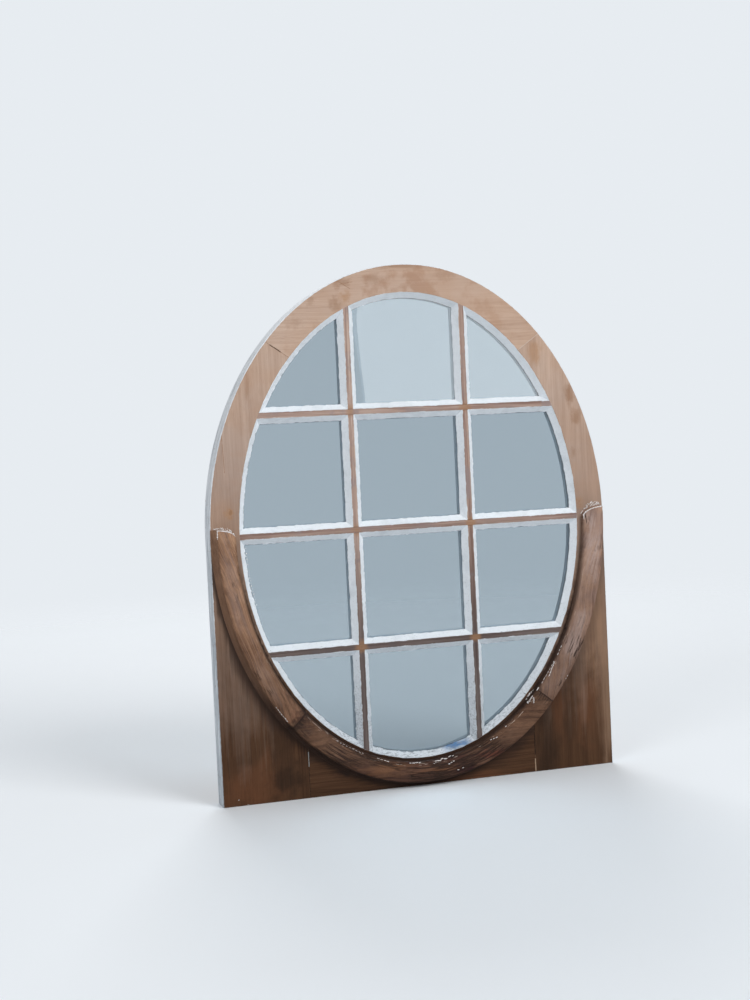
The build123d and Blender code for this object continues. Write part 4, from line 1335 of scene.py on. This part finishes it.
class WINDOW_OT_frame(bpy.types.Operator):
    """Finish the head, stiles and bottom rail"""

    bl_idname = "window.finish_frame"
    bl_label = "Finish the frame"

    def execute(self, context):
        s = sizes()
        inner = (s.half_width * cos(s.joint_angle), s.oval_z + s.half_height * sin(s.joint_angle))
        slope = (cos(s.head_slope), sin(s.head_slope))

        def joint(side, near, far):
            """Two points of a head joint, by how far they are from its inner end."""
            return [(side * (inner[0] + slope[0] * at), inner[1] + slope[1] * at) for at in (near, far)]

        # The lines of the joints: colour, start, end and width
        shoulder = inner[0]
        left_joint = [("stain", *joint(-1, 0.020, 0.044), 0.0026), ("brown", *joint(-1, 0.0, 0.075), 0.0010)]
        right_joint = [("joint_pale", *joint(1, 0.0, 0.075), 0.0014)]
        left_rail = [("filler_grey", (-shoulder, 0.090), (-shoulder, 0.062), 0.0018),
                     ("stain", (-shoulder, 0.062), (-shoulder, 0.0), 0.0009)]
        right_rail = [("stain", (shoulder, 0.095), (shoulder, 0.035), 0.0022),
                      ("filler_tan", (shoulder, 0.026), (shoulder, 0.001), 0.0030)]

        head, plank = ("head_light", "head_dark"), ("stile_light", "stile_dark")
        nodes = frame["nodes"]
        wear(nodes["frame_head"], frame_wood(
            "head wood", "X", head, seed=1.0, spots=HEAD_SPOTS,
            cracks=[*left_joint, *right_joint, *HEAD_KNOT_LINES],
            grain_lines=0.22, moulding_shadow_amount=(0.0, 0.0)))
        wear(nodes["frame_left_stile"], frame_wood(
            "left stile wood", "Z", plank, seed=2.0, spots=LEFT_STILE_SPOTS,
            cracks=[*left_joint, *left_rail, LEFT_STILE_CRACK],
            grain_lines=0.12, moulding_shadow_amount=(0.9, 0.9)))
        wear(nodes["frame_right_stile"], frame_wood(
            "right stile wood", "Z", plank, seed=3.0, spots=RIGHT_STILE_SPOTS,
            cracks=[*right_joint, *right_rail],
            grain_lines=0.12, moulding_shadow_amount=(0.3, 0.3)))
        wear(nodes["frame_bottom_rail"], frame_wood(
            "bottom rail wood", "X", plank, seed=4.0, spots=RAIL_SPOTS,
            cracks=[*left_rail, *right_rail],
            grain_lines=0.3, moulding_shadow_amount=(0.95, 0.7)))
        return {"FINISHED"}


class WINDOW_OT_bars(bpy.types.Operator):
    """Finish the level and upright glazing bars"""

    bl_idname = "window.finish_bars"
    bl_label = "Finish the glazing bars"

    def execute(self, context):
        for index, level in enumerate(LEVELS):
            wood = bar_wood(f"{level} level bar wood", "X", 10.0 + index)
            wear(frame["nodes"][f"level_bar_{level}"], wood)
        for index, side in enumerate(UPRIGHTS):
            wood = bar_wood(f"{side} upright bar wood", "Z", 20.0 + index)
            for row in ROWS:
                wear(frame["nodes"][f"upright_bar_{side}_{row}"], wood)
        return {"FINISHED"}


class WINDOW_OT_glass(bpy.types.Operator):
    """Finish the twelve panes"""

    bl_idname = "window.finish_glass"
    bl_label = "Finish the glass"

    def execute(self, context):
        glass = clear_glass()
        for row in ROWS:
            for column in COLUMNS:
                wear(frame["nodes"][f"pane_{row}_{column}"], glass)
        return {"FINISHED"}


class WINDOW_OT_putty(bpy.types.Operator):
    """Lay the putty round each pane"""

    bl_idname = "window.lay_putty"
    bl_label = "Lay the putty"

    def execute(self, context):
        paint = putty_paint()
        for r, row in enumerate(ROWS):
            for c, column in enumerate(COLUMNS):
                name, solid = f"putty_bead_{row}_{column}", f"putty_{row}_{column}"
                piece(name, *putty_mesh(c, r), paint, "putty", [solid], smooth=40)
        return {"FINISHED"}


class WINDOW_OT_moulding(bpy.types.Operator):
    """Run the drip moulding round the lower half"""

    bl_idname = "window.run_moulding"
    bl_label = "Run the drip moulding"

    def execute(self, context):
        s, c = sizes(), colours()
        tree = moulding_nodes()
        values = {
            "Half width": s.drip_half_width, "Half height": s.drip_half_height, "Middle": s.oval_z,
            "Weather face": -s.thickness / 2, "Moulding width": s.drip_width,
            "Tongue rise": s.tongue_rise, "Tongue drop": s.tongue_drop,
            "Tongue roundness": s.tongue_round, "Wear": 0.0005, "Steps across": 44,
        }
        butt_gap = 0.0001
        sides = dict(values, Start=butt_gap / s.drip_half_height - s.joint_angle, Tongue=1.0)
        sides["Steps along"] = 300
        foot = dict(values, Start=s.joint_angle - pi, End=-s.joint_angle)
        foot["Steps along"] = 420

        # Where the joints are along the moulding
        high, low = -s.joint_angle * s.drip_half_height, (s.joint_angle - pi) * s.drip_half_height

        runs = {
            "drip_left": (dict(sides, Side=-1.0, Seed=3.0), moulding_wood(
                "left moulding wood", 31.0, c.drip_light, c.drip_dark, grey=0.25, cracked=0.45, outer_shade=0.85,
                joints=[(high, 0.0018, 0.75)], slope=radians(-70.0), contrast=2.0,
                patches=LEFT_MOULDING_SPOTS)),
            "drip_right": (dict(sides, Side=1.0, Seed=8.0), moulding_wood(
                "right moulding wood", 32.0, c.drip_right_light, c.drip_right_dark, grey=0.75, cracked=0.55,
                outer_shade=0.6, joints=[(high, 0.0018, 0.25)], slope=radians(-104.0), contrast=1.6)),
            "drip_bottom": (dict(foot, Side=1.0, Seed=5.0), moulding_wood(
                "bottom moulding wood", 33.0, c.drip_bottom_light, c.drip_bottom_dark, grey=0.2, cracked=1.0,
                outer_shade=0.9, joints=[(high, 0.0014, 0.45), (low, 0.0018, 0.85)], slope=0.0, contrast=1.3,
                patches=BOTTOM_MOULDING_SPOTS)),
        }
        for node, (inputs, wood) in runs.items():
            moulding_piece(tree, node, dict(inputs, Wood=wood), wood)
        return {"FINISHED"}


class WINDOW_OT_remains(bpy.types.Operator):
    """Leave the lines, flecks and crumbs of old paint"""

    bl_idname = "window.leave_paint"
    bl_label = "Leave remains of paint"

    def execute(self, context):
        s = sizes()
        face, out = -s.thickness / 2, Vector((0, -1, 0))

        # A bead round each tip of the moulding, and a little way down one of its sides
        arris, inner = s.drip_width / 2 - 0.0095, -s.drip_width / 2 + 0.0015
        sunk, tip_steps, down_steps = 0.0004, 40, 12
        made = []
        for side, drop_side, drop, radius in ((-1, arris, 0.016, 0.0012), (1, inner, 0.011, 0.0015)):
            places = (arris + (inner - arris) * step / tip_steps for step in range(tip_steps + 1))
            tip = [moulding_point(side, tip_turn(across), across, profile_height(across) - sunk)
                   for across in places]
            height = profile_height(drop_side) - sunk
            down = []
            for step in range(1, down_steps + 1):
                turn = tip_turn(drop_side) - drop * step / down_steps / s.drip_half_height
                down.append(moulding_point(side, turn, drop_side, height))
            path = down[::-1] + tip if side < 0 else tip + down
            made.append(bead_mesh(path, radius, 3.0 * side))
        made += specks_at_tip(-1, 45, 11) + specks_at_tip(1, 85, 12)

        # Flecks on the moulding, and heaped crumbs at its right joint
        for row in FLECK_ROWS:
            first_angle = row[0][0]
            made += flecks_on_moulding(1, *row, seed=30.0 - first_angle, lean=0.5)
        made += flecks_on_moulding(-1, *LEFT_FLECK_ROW, seed=70.0)
        for row, seed in zip(HEAPED_FLECK_ROWS, (90.0, 94.0)):
            made += flecks_on_moulding(1, *row, seed=seed, height=0.0011, lean=5.0)
        for x, z, length, lean in JOINT_CRUMBS:
            along, lifted = Vector((1, 0, 1.2 + lean)), Vector((0.35 * lean, -1, 0.25)).normalized()
            width, height, seed = 0.0034, 0.0009, 80 + length * 9e3
            made.append(flake_mesh(Vector((x, face, z)), along, lifted, length, width, height, seed))
        for (x0, z0), (x1, z1), count in STILE_CRUMBS:
            made += crumbs_along(Vector((x0, face, z0)), Vector((x1, face, z1)), count,
                                 length=0.0032, width=0.0016, height=0.0004, outward=out, seed=120.0)

        # Crumbs on the glass, along the foot of the putty of the lower left pane
        glass_face = face + s.glass_front
        past_putty, most_in = 0.0022, 0.0028
        wide = s.half_width - s.putty_width - past_putty
        high = s.half_height - s.putty_width - past_putty
        crumbs, highest, down_by = 22, -0.022, 0.110
        for index in range(crumbs):
            up = highest - down_by * index / (crumbs - 1)
            in_by = most_in * abs(noise.noise(Vector((index * 4.3, 2.0, 0.5))))
            here = Vector((-(wide - in_by) * sqrt(1 - (up / high) ** 2), glass_face, up + s.oval_z))
            size = 0.0012 + 0.0022 * abs(noise.noise(Vector((index * 7.3, 5.0, 0.5))))
            made.append(flake_mesh(here, Vector((0.3, 0, 1)), out, size * 1.3, size, 0.0004, 140.0 + index))

        points, faces = [], []
        for some, around in made:
            faces += [tuple(i + len(points) for i in side) for side in around]
            points += [(x, max(y, face - s.drip_height), z) for x, y, z in some]
        piece("paint_remains", points, faces, old_paint(), "putty")
        return {"FINISHED"}


class WINDOW_OT_fixings(bpy.types.Operator):
    """Finish the pegs, tenons, glazing points and nails"""

    bl_idname = "window.finish_fixings"
    bl_label = "Finish the fixings"

    def execute(self, context):
        nodes = frame["nodes"]
        wear(nodes["joint_pegs"], end_wood("peg wood", 5.0))
        wear(nodes["joint_tenons"], end_wood("tenon wood", 6.0))
        steel = dull_steel()
        wear(nodes["glazing_points"], steel)
        wear(nodes["drip_nails"], steel)
        return {"FINISHED"}


def aim(thing, eye, forward, up):
    """Places a camera or lamp at a point, looking along a direction."""
    forward, up = Vector(forward).normalized(), Vector(up)
    side = forward.cross(up).normalized()
    turn = Matrix((side, side.cross(forward), -forward)).transposed()
    thing.matrix_world = Matrix.Translation(eye) @ turn.to_4x4()


def lamp(name, place, target, size, power):
    """An area lamp at a place, pointed at a target."""
    data = bpy.data.lights.new(name, "AREA")
    data.shape, data.size, data.size_y, data.energy = "RECTANGLE", size[0], size[1], power
    thing = bpy.data.objects.new(name, data)
    bpy.context.scene.collection.objects.link(thing)
    aim(thing, place, Vector(target) - Vector(place), (0, 0, 1))


class WINDOW_OT_stage(bpy.types.Operator):
    """Set the floor, the light and the camera"""

    bl_idname = "window.set_stage"
    bl_label = "Set the stage"

    def execute(self, context):
        scene = context.scene
        mesh = bpy.data.meshes.new("floor")
        half = 9
        corners = [(-half, -half, 0), (half, -half, 0), (half, half, 0), (-half, half, 0)]
        mesh.from_pydata(corners, [], [(0, 1, 2, 3)])
        floor = bpy.data.objects.new("floor", mesh)
        scene.collection.objects.link(floor)
        f = Finish("plain floor", Specular_IOR_Level=0.2)
        pale, grey = named_colour("floor"), (0.6, 0.6, 0.6)
        mottled = f.mix(f.times(f.noise(f.place, 1.5, 2.0), 0.06), pale, grey)
        mesh.materials.append(f.end(mottled, 0.85))
        fade_from, fade_to = 1.2, 4.5
        far = f.ramp(f.vector("LENGTH", f.place), fade_from, fade_to)
        clear = f.add("ShaderNodeBsdfTransparent").outputs[0]
        fade = f.add("ShaderNodeMixShader", far, f.shader.outputs[0], clear)
        f.tree.links.new(fade.outputs[0], f.tree.nodes["Material Output"].inputs[0])
        world = scene.world or bpy.data.worlds.new("studio")
        scene.world = world
        world.use_nodes = True
        w = Graph(world.node_tree)
        path = w.add("ShaderNodeLightPath").outputs
        seen = w.maths("MAXIMUM", path["Is Camera Ray"], path["Is Transmission Ray"])
        seen = w.maths("MAXIMUM", seen, path["Is Glossy Ray"])
        back = world.node_tree.nodes["Background"]
        w.put(back.inputs["Color"], w.mix(seen, (1.0, 1.0, 1.0), pale))
        w.put(back.inputs["Strength"], w.maths("MULTIPLY_ADD", seen, SEEN_BRIGHTER, SURROUNDINGS_LIGHT))
        for settings in LAMPS:
            lamp(*settings)
        data = bpy.data.cameras.new("camera")
        data.lens, data.sensor_width, data.sensor_fit = CAMERA_LENS, SENSOR_WIDTH, "AUTO"
        data.clip_start, data.clip_end = 0.05, 100.0
        camera = bpy.data.objects.new("camera", data)
        scene.collection.objects.link(camera)
        aim(camera, CAMERA_EYE, CAMERA_FORWARD, CAMERA_UP)
        scene.camera = camera
        scene.view_settings.view_transform = "Standard"
        return {"FINISHED"}


class WINDOW_PT_panel(bpy.types.Panel):
    """Lists the steps that make the window"""

    bl_idname = "WINDOW_PT_panel"
    bl_label = "Oval window"
    bl_space_type = "VIEW_3D"
    bl_region_type = "UI"
    bl_category = "Oval window"

    def draw(self, context):
        for step in STEPS:
            self.layout.operator(step.bl_idname)
        for group in (context.scene.window_sizes, context.scene.window_colours):
            box = self.layout.box()
            for name in group.__annotations__:
                box.prop(group, name)


STEPS = (WINDOW_OT_frame, WINDOW_OT_bars, WINDOW_OT_glass, WINDOW_OT_putty, WINDOW_OT_moulding,
         WINDOW_OT_remains, WINDOW_OT_fixings, WINDOW_OT_stage)
CLASSES = (WindowSizes, WindowColours, *STEPS, WINDOW_PT_panel)


def register():
    """Adds the window's settings, steps and panel."""
    for made in CLASSES:
        bpy.utils.register_class(made)
    bpy.types.Scene.window_sizes = PointerProperty(type=WindowSizes)
    bpy.types.Scene.window_colours = PointerProperty(type=WindowColours)


def unregister():
    """Takes them out again."""
    del bpy.types.Scene.window_sizes
    del bpy.types.Scene.window_colours
    for made in reversed(CLASSES):
        bpy.utils.unregister_class(made)


def main():
    """Makes the window step by step."""
    register()
    for step in STEPS:
        family, name = step.bl_idname.split(".")
        getattr(getattr(bpy.ops, family), name)()


if __name__ == "__main__":
    main()
